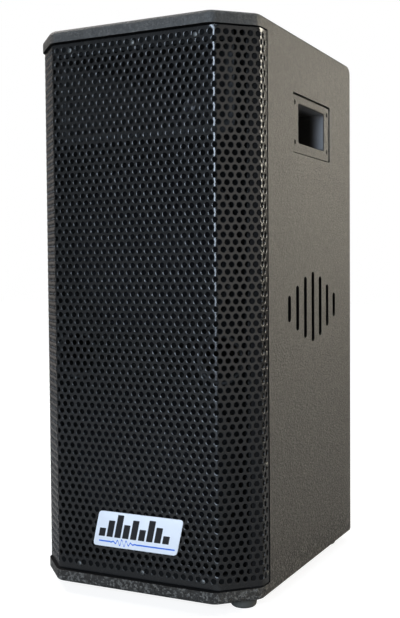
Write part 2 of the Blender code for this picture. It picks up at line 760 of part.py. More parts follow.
def make_hf_driver(finishes):
    """Compression driver behind the horn; z in its profiles runs back from the baffle's face."""
    axis = make_empty("hf_driver_axis", 0.0, BAFFLE_DEPTH, HORN_HEIGHT)
    profiles = {
        "throat_plate": ([
            (0.0127, 0.1503), (0.0450, 0.1503), (0.0450, 0.1583), (0.0237, 0.1583),
            (0.0237, 0.1840), (0.0190, 0.1840),
        ], "zinc"),
        "magnet": ([(0.0300, 0.1586), (0.0500, 0.1586), (0.0500, 0.1760), (0.0300, 0.1760)],
                   "ferrite"),
        "rear_plate": ([(0.0256, 0.1763), (0.0450, 0.1763), (0.0450, 0.1840), (0.0256, 0.1840)],
                       "zinc"),
        "diaphragm": ([
            (0.0, 0.1924), (0.0140, 0.1900), (0.0243, 0.1850), (0.0243, 0.1780),
            (0.0249, 0.1780), (0.0249, 0.1850), (0.0310, 0.1850), (0.0310, 0.1856),
            (0.0249, 0.1858), (0.0140, 0.1908), (0.0, 0.1932),
        ], "titanium"),
        "cover": ([
            (0.0, 0.2120), (0.0400, 0.2120), (0.0400, 0.1843), (0.0440, 0.1843),
            (0.0440, 0.2150), (0.0, 0.2150),
        ], "plastic"),
    }
    for piece, (profile, finish) in profiles.items():
        made = make_object(f"hf_{piece}", turned(profile), finishes[finish], smooth=True)
        on_axis(made, axis)


def make_ports(plastic):
    """Reflex port tubes with a flange on the baffle, in the spaces beside the two woofers."""
    inner = PORT_BORE
    outer = PORT_BORE + PORT_WALL
    profile = [
        (inner, -0.0023),
        (inner + 0.006, -0.0023),
        (inner + 0.006, -0.0003),
        (outer, -0.0003),
        (outer, PORT_LENGTH),
        (inner, PORT_LENGTH),
    ]
    for side, x in PORT_PLACES.items():
        tube = make_object(f"port_tube_{side}", turned(profile, 20), plastic, smooth=True)
        facing_back(tube, x, BAFFLE_DEPTH, PORT_HEIGHT)


# ---- Crossover, lining and leads --------------------------------------------------------
def make_crossover(finishes):
    """Passive crossover on the cabinet floor."""
    base = INNER_LOW
    deck = base + 0.003
    make_object("crossover_board", box((-0.085, 0.290, base), (0.085, 0.405, deck)),
                finishes["board"])
    rest = deck + FIT_GAP
    coils = {
        "woofer": (-0.048, 0.350, 0.032, 0.014, 0.030),
        "horn": (0.030, 0.322, 0.020, 0.009, 0.018),
    }
    for role, (x, depth, outer, inner, tall) in coils.items():
        profile = [(inner, 0.0), (outer, 0.0), (outer, tall), (inner, tall)]
        spot = CASE_ORIGIN + Vector((x, depth, rest))
        make_object(f"crossover_coil_{role}", turned(profile, 16), finishes["copper"], spot, True)
    radius = 0.011
    for role, depth in {"woofer": 0.357, "horn": 0.383}.items():
        can = [(0.0, 0.0), (radius, 0.0), (radius, 0.044), (0.0, 0.044)]
        lying = aimed(turned(can, 12), (0.014, depth, rest + radius), (1, 0, 0))
        make_object(f"crossover_capacitor_{role}", lying, finishes["film"], smooth=True)
    resistor = box((0.062, 0.296, rest), (0.076, 0.340, rest + 0.012))
    make_object("crossover_resistor", resistor, finishes["ceramic"])


def make_lining(felt):
    """Damping sheets on the back and on both sides of the lower chamber."""
    wall = INNER_HALF - 0.0006
    sheets = {
        "rear": ((-0.150, 0.417, 0.370), (0.150, DEPTH - PANEL - 0.0006, 0.800)),
        "left": ((-wall, 0.090, 0.060), (-wall + 0.011, 0.405, 0.320)),
        "right": ((wall - 0.011, 0.090, 0.060), (wall, 0.405, 0.320)),
    }
    for place, (low, high) in sheets.items():
        make_object(f"acoustic_lining_{place}", box(low, high), felt)


def smooth_route(points, steps):
    """Points on a Catmull-Rom curve through the route's own points."""
    padded = [points[0]] + points + [points[-1]]
    result = []
    for index in range(1, len(padded) - 2):
        before, start, end, after = (Vector(p) for p in padded[index - 1:index + 3])
        for step in range(steps):
            t = step / steps
            drift = (end - before) * t
            bend = (2 * before - 5 * start + 4 * end - after) * t ** 2
            twist = (3 * start - before - 3 * end + after) * t ** 3
            result.append((2 * start + drift + bend + twist) / 2)
    result.append(Vector(points[-1]))
    return result


def make_leads(sheath):
    """Leads from the sockets to the crossover and from there to each driver."""
    seat = BAFFLE_DEPTH + 0.0990
    socket_back = DEPTH - 0.0285
    routes = {
        "input": [
            (-0.036, socket_back, 0.260), (-0.036, socket_back - 0.0115, 0.259),
            (-0.036, 0.410, 0.235), (-0.030, 0.405, 0.120),
            (-0.016, 0.396, 0.055), (-0.016, 0.396, 0.0230),
        ],
        "lower_woofer": [
            (-0.070, 0.300, 0.0230), (-0.070, 0.298, 0.060), (-0.088, 0.230, 0.110),
            (-0.085, 0.180, 0.142), (-0.0815, seat, 0.1420),
        ],
        "upper_woofer": [
            (-0.004, 0.300, 0.0230), (-0.006, 0.300, 0.070), (-0.076, 0.320, 0.240),
            (-0.076, 0.300, 0.400), (-0.088, 0.200, 0.458), (-0.0815, seat, 0.4640),
        ],
        "horn": [
            (0.054, 0.300, 0.0230), (0.055, 0.301, 0.070), (0.076, 0.320, 0.240),
            (0.076, 0.330, 0.420), (0.040, 0.330, 0.620), (0.004, 0.300, 0.730),
            (0.000, 0.2635, 0.736),
        ],
    }
    for role, route in routes.items():
        curve = bpy.data.curves.new(f"lead_{role}", "CURVE")
        curve.dimensions = "3D"
        curve.bevel_depth = 0.0025
        curve.bevel_resolution = 2
        curve.use_fill_caps = True
        points = smooth_route(route, 4)
        spline = curve.splines.new("POLY")
        spline.points.add(len(points) - 1)
        for target, point in zip(spline.points, points):
            target.co = (*point, 1.0)
        curve.materials.append(sheath)
        lead = bpy.data.objects.new(f"lead_{role}", curve)
        lead.location = CASE_ORIGIN
        bpy.context.scene.collection.objects.link(lead)


# ---- Assembly ---------------------------------------------------------------------------
def main():
    """Build every piece of the loudspeaker."""
    clear_scene()
    paint = material("textured_black_paint", (0.050, 0.047, 0.042), 0.55)
    inner_paint = material("black_baffle_paint", (0.030, 0.030, 0.032), 0.70)
    timber = material("plywood", (0.42, 0.30, 0.18), 0.75)
    black_steel = material("black_steel", (0.045, 0.047, 0.052), 0.40, 0.6)
    white = material("white_badge", (0.80, 0.81, 0.83), 0.40)
    plastic = material("black_plastic", (0.035, 0.035, 0.035), 0.45)
    rubber = material("black_rubber", (0.030, 0.030, 0.030), 0.80)
    lead = material("lead_sheath", (0.05, 0.05, 0.06), 0.60)
    felt = material("grey_felt", (0.22, 0.22, 0.22), 0.95)
    finishes = {
        "cast": material("cast_basket", (0.08, 0.08, 0.085), 0.50, 0.7),
        "zinc": material("plated_steel", (0.50, 0.50, 0.52), 0.40, 1.0),
        "ferrite": material("ferrite", (0.06, 0.06, 0.065), 0.60),
        "cloth": material("spider_cloth", (0.35, 0.25, 0.12), 0.90),
        "treated_cloth": material("surround_cloth", (0.045, 0.045, 0.048), 0.75),
        "paper": material("black_cone_paper", (0.050, 0.050, 0.055), 0.85),
        "copper": material("copper_winding", (0.60, 0.30, 0.16), 0.35, 1.0),
        "titanium": material("titanium_dome", (0.45, 0.46, 0.48), 0.30, 1.0),
        "plastic": plastic,
        "board": material("crossover_board", (0.08, 0.22, 0.10), 0.60),
        "film": material("capacitor_film", (0.55, 0.42, 0.12), 0.45),
        "ceramic": material("ceramic", (0.75, 0.74, 0.70), 0.70),
    }

    make_end_panels(paint)
    make_side_panel("side_panel_left", -1, paint)
    make_side_panel("side_panel_right", 1, paint)
    make_rear_panel(paint)
    make_baffle(inner_paint)
    make_brace(timber)
    make_battens(inner_paint)
    make_grille(black_steel)
    make_badge(white)
    make_handle("handle_pocket_left", -1, plastic)
    make_handle("handle_pocket_right", 1, plastic)
    make_feet(rubber)
    make_connectors(black_steel, plastic)
    for prefix, height in WOOFER_HEIGHTS.items():
        make_woofer(prefix, height, finishes)
    make_horn(plastic)
    make_hf_driver(finishes)
    make_ports(plastic)
    make_crossover(finishes)
    make_lining(felt)
    make_leads(lead)


main()
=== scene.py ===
"""Looks of the PA loudspeaker cabinet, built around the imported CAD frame.

Metres, +Z up, front -Y.
"""
import math

import bmesh
import bpy
import numpy as np
from mathutils import Matrix, Vector


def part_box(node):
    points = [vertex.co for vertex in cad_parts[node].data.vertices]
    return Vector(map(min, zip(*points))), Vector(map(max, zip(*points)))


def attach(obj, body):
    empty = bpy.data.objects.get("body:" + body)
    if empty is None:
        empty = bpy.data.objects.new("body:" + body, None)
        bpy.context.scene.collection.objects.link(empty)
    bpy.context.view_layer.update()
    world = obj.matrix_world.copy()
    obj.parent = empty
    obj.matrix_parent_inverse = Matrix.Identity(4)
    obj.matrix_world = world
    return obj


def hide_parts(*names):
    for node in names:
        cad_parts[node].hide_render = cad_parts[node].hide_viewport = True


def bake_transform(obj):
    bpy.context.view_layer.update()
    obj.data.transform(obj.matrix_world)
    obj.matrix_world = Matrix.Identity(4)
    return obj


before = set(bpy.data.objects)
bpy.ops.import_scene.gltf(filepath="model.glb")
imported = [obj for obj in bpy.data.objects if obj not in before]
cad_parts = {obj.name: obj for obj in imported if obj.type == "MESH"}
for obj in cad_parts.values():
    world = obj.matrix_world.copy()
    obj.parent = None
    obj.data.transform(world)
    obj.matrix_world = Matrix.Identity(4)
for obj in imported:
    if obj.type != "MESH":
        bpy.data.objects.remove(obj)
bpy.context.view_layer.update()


CABINET = "cabinet"

# ---- Places taken from the frame
TOP_LOW, TOP_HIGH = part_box("top_panel")
BOTTOM_LOW, BOTTOM_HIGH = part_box("bottom_panel")
SIDE_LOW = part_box("side_panel_right")[0]
REAR_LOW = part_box("rear_panel")[0]
GRILLE_LOW, GRILLE_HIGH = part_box("front_grille")
BADGE_LOW, BADGE_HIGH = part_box("badge_plate")
BAFFLE_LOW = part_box("front_baffle")[0]
PLATE_LOW, PLATE_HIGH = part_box("connector_plate")

HALF = TOP_HIGH.x
FRONT = TOP_LOW.y
BACK = TOP_HIGH.y
TOP = TOP_HIGH.z
BASE = BOTTOM_LOW.z
CEILING = TOP_LOW.z
FLOOR_LEVEL = BOTTOM_HIGH.z
INNER_HALF = SIDE_LOW.x
BAFFLE_FACE = BAFFLE_LOW.y

# ---- Details that a box can't give
CHAMFER = 0.052
RIM_RADIUS = 0.006
CORNER_ROUNDING = 0.008
REAR_TOP_RADIUS = 0.016
BAND_ROUNDING = 0.003
SHEET = 0.0015
FIT_GAP = 0.0003
GRILLE_INSET = 0.004
GRILLE_HALF = GRILLE_HIGH.x
FLANGE_BACK = GRILLE_HIGH.y
REBATE_BACK = FLANGE_BACK + 0.001
HOLE_PITCH = 0.0121
ROW_PITCH = 0.0104
HOLE_RADIUS = 0.004
HOLE_LIPS = ((0.0007, 0.0), (0.0002, 0.00015), (0.0, 0.0005))
HOLE_ORIGIN = (0.0007, BASE + 0.4377)
BEND_RADIUS = 0.005


# ---- Mesh helpers
def link(made):
    """Put an object in the scene."""
    bpy.context.scene.collection.objects.link(made)
    return made


def mesh_object(name, verts, faces, finish=None, sharp=35.0, outward=False):
    """Object from points and faces; outward says that its faces already point out."""
    mesh = bpy.data.meshes.new(name)
    mesh.from_pydata([tuple(v) for v in verts], [], [tuple(f) for f in faces])
    return dressed(name, mesh, finish, sharp, outward)


def dressed(name, mesh, finish, sharp=35.0, outward=False):
    """Object with its normals turned outward, its shading set and its material assigned."""
    if not outward:
        bm = bmesh.new()
        bm.from_mesh(mesh)
        bmesh.ops.recalc_face_normals(bm, faces=bm.faces)
        bm.to_mesh(mesh)
        bm.free()
    mesh.shade_smooth()
    mesh.set_sharp_from_angle(angle=math.radians(sharp))
    made = link(bpy.data.objects.new(name, mesh))
    if finish:
        mesh.materials.append(finish)
    return made


def from_bmesh(name, bm, finish=None, sharp=35.0):
    """Object from a bmesh, which is freed."""
    mesh = bpy.data.meshes.new(name)
    bm.to_mesh(mesh)
    bm.free()
    return dressed(name, mesh, finish, sharp)


def loft(name, loops, finish=None, ring=False, sharp=35.0, floors=None):
    """Surface through loops of equal count, closed by two caps or back to its first loop.

    floors names two neighbouring loops that are each closed flat instead of being joined.
    """
    count = len(loops[0])
    verts = [point for loop in loops for point in loop]
    faces = []
    rows = len(loops)
    for row in range(rows if ring else rows - 1):
        if floors and row == floors[0]:
            for end in floors:
                faces.append(tuple(range(end * count, (end + 1) * count)))
            continue
        low = row * count
        high = (row + 1) % rows * count
        for index in range(count):
            after = (index + 1) % count
            faces.append((low + index, low + after, high + after, high + index))
    if not ring:
        faces.append(tuple(range(count)))
        faces.append(tuple(range((rows - 1) * count, rows * count)))
    return mesh_object(name, verts, faces, finish, sharp)


def turned(name, profile, finish, place, segments=64, sharp=35.0, aim=(0, 1, 0)):
    """Solid of revolution whose own z runs along aim from place; profile is (radius, z)."""
    bm = bmesh.new()
    verts = [bm.verts.new((radius, 0.0, z)) for radius, z in profile]
    edges = [bm.edges.new(pair) for pair in zip(verts, verts[1:])]
    if min(radius for radius, z in profile) > 1e-6:
        edges.append(bm.edges.new((verts[-1], verts[0])))
    bmesh.ops.spin(bm, geom=verts + edges, axis=(0, 0, 1), cent=(0, 0, 0),
                   angle=2 * math.pi, steps=segments, use_merge=True)
    bmesh.ops.remove_doubles(bm, verts=bm.verts, dist=1e-6)
    turn = Vector((0, 0, 1)).rotation_difference(Vector(aim)).to_matrix().to_4x4()
    bmesh.ops.transform(bm, matrix=Matrix.Translation(Vector(place)) @ turn, verts=bm.verts)
    return from_bmesh(name, bm, finish, sharp)


def outline_solid(outline, axis, low, high):
    """bmesh of a flat outline extruded along one axis."""
    placed = {
        "X": lambda a, b, c: (c, a, b),
        "Y": lambda a, b, c: (a, c, b),
        "Z": lambda a, b, c: (a, b, c),
    }[axis]
    bm = bmesh.new()
    face = bm.faces.new([bm.verts.new(placed(a, b, low)) for a, b in outline])
    grown = bmesh.ops.extrude_face_region(bm, geom=[face])
    moved = [item for item in grown["geom"] if isinstance(item, bmesh.types.BMVert)]
    bmesh.ops.translate(bm, verts=moved, vec=Vector(placed(0.0, 0.0, high - low)))
    bmesh.ops.recalc_face_normals(bm, faces=bm.faces)
    return bm


def rounded_rectangle(centre, size, radius, steps=8):
    """Outline of a rectangle whose corners are arcs."""
    points = []
    for quarter, (sign_a, sign_b) in enumerate(((1, 1), (-1, 1), (-1, -1), (1, -1))):
        arc_a = centre[0] + sign_a * (size[0] / 2 - radius)
        arc_b = centre[1] + sign_b * (size[1] / 2 - radius)
        for step in range(steps + 1):
            angle = math.pi / 2 * (quarter + step / steps)
            points.append((arc_a + radius * math.cos(angle), arc_b + radius * math.sin(angle)))
    return points


def bevel_edges(bm, wanted, width, steps):
    """Round the edges that a test picks."""
    edges = [edge for edge in bm.edges if wanted(edge)]
    bmesh.ops.bevel(bm, geom=edges, offset=width, segments=steps, profile=0.5,
                    affect="EDGES", clamp_overlap=True)


def add_part(whole, part):
    """Put one bmesh's faces into another, and free it."""
    mesh = bpy.data.meshes.new("part")
    part.to_mesh(mesh)
    part.free()
    whole.from_mesh(mesh)
    bpy.data.meshes.remove(mesh)


def discard(piece):
    """Remove an object and its mesh."""
    mesh = piece.data
    bpy.data.objects.remove(piece)
    bpy.data.meshes.remove(mesh)


def carve(target, parts, material_index=0):
    """Subtract closed solids from an object and keep the result as its mesh."""
    together = bmesh.new()
    for part in parts:
        add_part(together, part)
    for face in together.faces:
        face.material_index = material_index
    whole = bpy.data.meshes.new("cutter")
    together.to_mesh(whole)
    together.free()
    for finish in target.data.materials:
        whole.materials.append(finish)
    cutter = link(bpy.data.objects.new("cutter", whole))
    modifier = target.modifiers.new("carve", "BOOLEAN")
    modifier.operation = "DIFFERENCE"
    modifier.solver = "EXACT"
    modifier.object = cutter
    graph = bpy.context.evaluated_depsgraph_get()
    result = bpy.data.meshes.new_from_object(target.evaluated_get(graph))
    target.modifiers.remove(modifier)
    old = target.data
    target.data = result
    bpy.data.meshes.remove(old)
    discard(cutter)


def joined(name, pieces):
    """Several objects made into one piece."""
    bm = bmesh.new()
    finishes = []
    for piece in pieces:
        mesh = piece.data
        mesh.transform(piece.matrix_world)
        start = len(finishes)
        finishes.extend(mesh.materials)
        first = len(bm.faces)
        bm.from_mesh(mesh)
        bm.faces.ensure_lookup_table()
        for face in bm.faces[first:]:
            face.material_index += start
    mesh = bpy.data.meshes.new(name)
    bm.to_mesh(mesh)
    bm.free()
    made = link(bpy.data.objects.new(name, mesh))
    kept = []
    indices = {}
    for index, finish in enumerate(finishes):
        if finish not in kept:
            kept.append(finish)
        indices[index] = kept.index(finish)
    for finish in kept:
        mesh.materials.append(finish)
    for polygon in mesh.polygons:
        polygon.material_index = indices[polygon.material_index]
    for piece in pieces:
        discard(piece)
    return made


# ---- Materials
class Finish:
    """Procedural Principled material with colour variation, roughness variation and bump."""

    def __init__(self, name, roughness=0.5, metallic=0.0, specular=0.5):
        self.material = bpy.data.materials.new(name)
        self.material.use_nodes = True
        self.tree = self.material.node_tree
        self.shader = self.tree.nodes["Principled BSDF"]
        self.shader.inputs["Roughness"].default_value = roughness
        self.shader.inputs["Metallic"].default_value = metallic
        self.shader.inputs["Specular IOR Level"].default_value = specular
        self.place = self.add("ShaderNodeTexCoord").outputs["Object"]

    def add(self, kind, values=None, **settings):
        """New node; values are its constant inputs by name."""
        node = self.tree.nodes.new(kind)
        for key, value in settings.items():
            setattr(node, key, value)
        for socket, value in (values or {}).items():
            node.inputs[socket].default_value = value
        return node

    def link(self, source, target):
        self.tree.links.new(source, target)

    def noise(self, scale, detail=2.0, rough=0.5, distortion=0.0, stretch=None):
        node = self.add("ShaderNodeTexNoise", {
            "Scale": scale, "Detail": detail, "Roughness": rough, "Distortion": distortion,
        })
        self.link(self.stretched(stretch), node.inputs["Vector"])
        return node.outputs["Fac"]

    def cells(self, scale):
        node = self.add("ShaderNodeTexVoronoi", {"Scale": scale})
        self.link(self.place, node.inputs["Vector"])
        return node.outputs["Distance"]

    def waves(self, scale, axis="X", distortion=0.0):
        values = {"Scale": scale, "Distortion": distortion}
        node = self.add("ShaderNodeTexWave", values, bands_direction=axis)
        self.link(self.place, node.inputs["Vector"])
        return node.outputs["Fac"]

    def stretched(self, stretch):
        if stretch is None:
            return self.place
        node = self.add("ShaderNodeMapping", {"Scale": stretch})
        self.link(self.place, node.inputs["Vector"])
        return node.outputs["Vector"]

    def ramp(self, source, stops):
        node = self.add("ShaderNodeValToRGB")
        ramp = node.color_ramp
        while len(ramp.elements) < len(stops):
            ramp.elements.new(0.5)
        for element, (position, value) in zip(ramp.elements, stops):
            element.position = position
            colour = value if isinstance(value, tuple) else (value, value, value)
            element.color = (*colour, 1.0)
        self.link(source, node.inputs["Fac"])
        return node.outputs["Color"]

    def mix(self, factor, first, second):
        node = self.add("ShaderNodeMix", data_type="RGBA")
        for index, value in ((0, factor), (6, first), (7, second)):
            socket = node.inputs[index]
            if isinstance(value, tuple):
                socket.default_value = (*value, 1.0)
            elif isinstance(value, float):
                socket.default_value = value
            else:
                self.link(value, socket)
        return node.outputs[2]

    def math(self, operation, first, second):
        node = self.add("ShaderNodeMath", operation=operation)
        for socket, value in zip(node.inputs, (first, second)):
            if isinstance(value, (int, float)):
                socket.default_value = value
            else:
                self.link(value, socket)
        return node.outputs[0]

    def worn_edges(self, radius, share):
        """Patchy mask of convex edges, where paint rubs off first."""
        bevel = self.add("ShaderNodeBevel", {"Radius": radius}, samples=4)
        turn = self.add("ShaderNodeVectorMath", operation="DOT_PRODUCT")
        self.link(bevel.outputs["Normal"], turn.inputs[0])
        self.link(self.add("ShaderNodeNewGeometry").outputs["Normal"], turn.inputs[1])
        edge = self.ramp(turn.outputs["Value"], [(0.90, 1.0), (0.985, 0.0)])
        patches = self.ramp(self.noise(45.0, 5.0, 0.7), [(0.50, 0.0), (0.66, share)])
        return self.math("MULTIPLY", edge, patches)

    def colour(self, source):
        self.link(source, self.shader.inputs["Base Color"])

    def roughness(self, source, low, high, least=None):
        """Roughness from low to high by source; where least is given, never below it."""
        node = self.add("ShaderNodeMapRange", {"To Min": low, "To Max": high})
        self.link(source, node.inputs["Value"])
        value = node.outputs["Result"]
        if least is not None:
            value = self.math("MAXIMUM", value, least)
        self.link(value, self.shader.inputs["Roughness"])

    def bump(self, heights, distance):
        """Stack of bumps: heights is a list of (height socket, strength)."""
        previous = None
        for height, strength in heights:
            node = self.add("ShaderNodeBump", {"Strength": strength, "Distance": distance})
            self.link(height, node.inputs["Height"])
            if previous:
                self.link(previous, node.inputs["Normal"])
            previous = node.outputs["Normal"]
        self.link(previous, self.shader.inputs["Normal"])


DUST_ROUGHNESS = 0.92


def make_case_paint(name, dark, light):
    """Spattered black paint: blobs over a fine grain, painted shade, a painted warm floor
    reflection and painted glint flecks low down, dust on upward faces.
    """
    paint = Finish(name)
    blobs = paint.noise(300.0, 3.0, 0.6)
    lumps = paint.ramp(blobs, [(0.42, 0.0), (0.60, 1.0)])
    grain = paint.noise(1500.0, 2.0, 0.5)
    drift = paint.noise(6.0, 3.0, 0.6)
    mottle = paint.noise(70.0, 3.0, 0.6)
    tone = paint.mix(drift, dark, light)
    tone = paint.mix(paint.ramp(mottle, [(0.35, 0.0), (0.65, 0.55)]), tone,
                     tuple(0.55 * c for c in dark))
    scuffs = paint.ramp(paint.noise(38.0, 6.0, 0.75), [(0.66, 0.0), (0.74, 1.0)])
    tone = paint.mix(paint.math("MULTIPLY", scuffs, 0.35), tone, tuple(2.2 * c for c in light))
    tone = paint.mix(paint.worn_edges(0.0030, 0.45), tone, tuple(2.6 * c for c in light))
    height = paint.add("ShaderNodeSeparateXYZ")
    paint.link(paint.place, height.inputs[0])
    low = paint.ramp(height.outputs["Z"], [(0.03, 1.0), (0.07, 0.42), (0.45, 0.20)])
    # Painted shade and a painted warm floor reflection: the paint turns darker and browner towards
    # the bottom.
    painted_low_shade = paint.ramp(height.outputs["Z"], [(0.03, 0.5), (0.24, 0.0)])
    tone = paint.mix(paint.math("MULTIPLY", painted_low_shade, paint.math("ADD", mottle, 0.3)), tone,
                     (0.019, 0.013, 0.008))
    # Painted highlights: light flecks that stand in for glints on the bumpy paint, strongest
    # towards the bottom.
    painted_glint_flecks = paint.ramp(paint.noise(240.0, 2.0, 0.5), [(0.52, 0.0), (0.62, 1.0)])
    tone = paint.mix(paint.math("MULTIPLY", painted_glint_flecks, paint.math("MULTIPLY", low, 0.6)), tone,
                     tuple(4.0 * c for c in light))
    paint.colour(tone)
    facing = paint.add("ShaderNodeNewGeometry")
    upward = paint.add("ShaderNodeSeparateXYZ")
    paint.link(facing.outputs["Normal"], upward.inputs[0])
    dust = paint.ramp(upward.outputs["Z"], [(0.90, 0.0), (0.99, 1.0)])
    shine = paint.math("ADD", blobs, paint.math("MULTIPLY", drift, 0.3))
    paint.roughness(shine, 0.34, 0.56, least=paint.math("MULTIPLY", dust, DUST_ROUGHNESS))
    paint.bump([(paint.math("MULTIPLY", lumps, low), 1.0), (grain, 0.3)], 0.0016)
    return paint.material


def make_black_paint_and_shade():
    """Near-black on the routed grooves and on the carved faces inside the case and under its bands:
    partly black paint, partly painted shade of these recesses.
    """
    paint = Finish("black_paint_and_painted_shade", specular=0.12)
    drift = paint.noise(120.0, 3.0)
    paint.colour(paint.mix(drift, (0.004, 0.004, 0.004), (0.009, 0.008, 0.008)))
    paint.roughness(drift, 0.75, 0.95)
    paint.bump([(paint.noise(900.0), 0.3)], 0.0004)
    return paint.material


def make_powder_coat(name, dark, light, gloss=(0.30, 0.44), specular=0.5, dusty=0.3):
    """Powder coat on steel: fine orange peel and faint dust."""
    coat = Finish(name, specular=specular)
    peel = coat.noise(900.0, 2.0, 0.5)
    drift = coat.noise(9.0, 4.0, 0.65)
    dust = coat.ramp(coat.noise(55.0, 6.0, 0.7), [(0.60, 0.0), (0.80, 1.0)])
    tone = coat.mix(drift, dark, light)
    coat.colour(coat.mix(coat.math("MULTIPLY", dust, dusty), tone, (0.09, 0.085, 0.075)))
    coat.roughness(drift, *gloss)
    coat.bump([(peel, 0.18)], 0.0004)
    return coat.material


def make_plastic(name, dark, light, gloss=(0.38, 0.52), grain=1400.0, depth=0.2):
    """Moulded plastic with a fine spark-eroded grain."""
    plastic = Finish(name)
    drift = plastic.noise(14.0, 3.0)
    plastic.colour(plastic.mix(drift, dark, light))
    plastic.roughness(plastic.noise(60.0, 4.0), *gloss)
    plastic.bump([(plastic.cells(grain), depth)], 0.0003)
    return plastic.material


def make_pocket_plastic():
    """Black plastic of a handle's cup, with painted light: light grey for the first millimetres
    inside the mouth, its own black deeper in.
    """
    plastic = Finish("pocket_plastic")
    drift = plastic.noise(90.0, 4.0, 0.6)
    across = plastic.add("ShaderNodeSeparateXYZ")
    plastic.link(plastic.place, across.inputs[0])
    near = plastic.math("MULTIPLY", plastic.math("ABSOLUTE", across.outputs["X"], 0.0), 5.0)
    # Painted light: the cup is light grey near the mouth, where light reaches into it, and fades to
    # its own black deeper in.
    painted_mouth_light = plastic.ramp(near, [(0.790, 0.0), (0.865, 1.0)])
    bare = plastic.mix(drift, (0.016, 0.015, 0.014), (0.026, 0.025, 0.023))
    plastic.colour(plastic.mix(painted_mouth_light, bare, (0.19, 0.19, 0.195)))
    plastic.roughness(drift, 0.30, 0.45)
    plastic.bump([(plastic.noise(500.0, 3.0), 0.3)], 0.0004)
    return plastic.material


def make_rubber(name):
    """Matt rubber with mould grain and scuffed patches."""
    rubber = Finish(name, specular=0.3)
    scuff = rubber.noise(90.0, 5.0, 0.7)
    rubber.colour(rubber.mix(scuff, (0.050, 0.050, 0.044), (0.095, 0.092, 0.082)))
    rubber.roughness(scuff, 0.68, 0.9)
    rubber.bump([(rubber.noise(700.0, 3.0), 0.35)], 0.0005)
    return rubber.material


def make_metal(name, dark, light, gloss=(0.25, 0.42)):
    """Plated or bare metal with faint tool marks."""
    metal = Finish(name, metallic=1.0)
    marks = metal.noise(300.0, 4.0, 0.6)
    metal.colour(metal.mix(marks, dark, light))
    metal.roughness(marks, *gloss)
    metal.bump([(marks, 0.12)], 0.0002)
    return metal.material


def make_timber():
    """Raw birch plywood face."""
    timber = Finish("raw_plywood", specular=0.3)
    grain = timber.noise(60.0, 6.0, 0.65, 0.6, stretch=(1.0, 9.0, 9.0))
    timber.colour(timber.ramp(grain, [
        (0.25, (0.30, 0.19, 0.10)), (0.55, (0.50, 0.36, 0.22)), (0.85, (0.62, 0.47, 0.30)),
    ]))
    timber.roughness(grain, 0.62, 0.82)
    timber.bump([(grain, 0.35)], 0.0006)
    return timber.material


def make_cloth(name, dark, light):
    """Woven and treated cloth."""
    cloth = Finish(name, specular=0.12)
    warp = cloth.waves(700.0, "X", 0.6)
    weft = cloth.waves(700.0, "Z", 0.6)
    weave = cloth.math("MULTIPLY", warp, weft)
    cloth.colour(cloth.mix(weave, dark, light))
    cloth.roughness(weave, 0.72, 0.9)
    cloth.bump([(weave, 0.5), (cloth.noise(400.0), 0.3)], 0.0004)
    return cloth.material


def make_paper():
    """Black pressed pulp of a loudspeaker cone, with fibres."""
    paper = Finish("cone_pulp", specular=0.12)
    fibres = paper.noise(500.0, 6.0, 0.75, 1.2)
    paper.colour(paper.mix(fibres, (0.004, 0.004, 0.005), (0.014, 0.014, 0.016)))
    paper.roughness(fibres, 0.65, 0.85)
    paper.bump([(fibres, 0.5)], 0.0005)
    return paper.material


def make_felt():
    """Grey needled felt."""
    felt = Finish("needled_felt", specular=0.15)
    fibres = felt.noise(260.0, 8.0, 0.8, 1.5)
    felt.colour(felt.ramp(fibres, [
        (0.3, (0.10, 0.10, 0.11)), (0.6, (0.24, 0.24, 0.25)), (0.8, (0.40, 0.39, 0.38)),
    ]))
    felt.roughness(fibres, 0.88, 1.0)
    felt.bump([(fibres, 0.9)], 0.0015)
    return felt.material


def make_board():
    """Green circuit board with printed tracks."""
    board = Finish("circuit_board_lacquer")
    tracks = board.ramp(board.waves(55.0, "X", 5.0), [(0.46, 0.0), (0.52, 1.0)])
    board.colour(board.mix(tracks, (0.02, 0.11, 0.04), (0.05, 0.22, 0.08)))
    board.roughness(board.noise(80.0), 0.3, 0.5)
    board.bump([(tracks, 0.3)], 0.0003)
    return board.material


def make_winding():
    """Lacquered copper wire, wound in layers."""
    wire = Finish("copper_winding", metallic=1.0)
    turns = wire.waves(520.0, "Z")
    wire.colour(wire.mix(turns, (0.30, 0.11, 0.04), (0.80, 0.38, 0.20)))
    wire.roughness(turns, 0.25, 0.45)
    wire.bump([(turns, 0.8)], 0.0005)
    return wire.material


def make_film(name, low, high, gloss=(0.25, 0.4)):
    """Printed or wrapped film with faint ripples."""
    film = Finish(name)
    drift = film.noise(35.0, 3.0)
    film.colour(film.mix(drift, low, high))
    film.roughness(film.noise(120.0, 3.0), *gloss)
    film.bump([(film.noise(220.0, 2.0), 0.12)], 0.0004)
    return film.material


PAINT = make_case_paint("textured_case_paint", (0.040, 0.037, 0.033), (0.058, 0.055, 0.049))
BLACK_PAINT_AND_SHADE = make_black_paint_and_shade()
GRILLE = make_powder_coat("grille_powder_coat", (0.011, 0.0105, 0.010), (0.019, 0.018, 0.017),
                          (0.19, 0.27))
BAFFLE = make_powder_coat("matt_baffle_paint", (0.003, 0.003, 0.003), (0.007, 0.007, 0.007),
                          (0.80, 0.95), 0.08, 0.05)
PLATE = make_powder_coat("plate_powder_coat", (0.022, 0.022, 0.023), (0.034, 0.034, 0.035))
HANDLE = make_case_paint("handle_painted_plastic", (0.040, 0.037, 0.033), (0.056, 0.053, 0.047))
POCKET = make_pocket_plastic()
PLASTIC = make_plastic("moulded_black_plastic", (0.006, 0.006, 0.006), (0.013, 0.013, 0.013),
                       (0.55, 0.7))
SOCKET = make_plastic("socket_plastic", (0.012, 0.012, 0.013), (0.022, 0.022, 0.024), (0.3, 0.42))
RUBBER = make_rubber("foot_rubber")
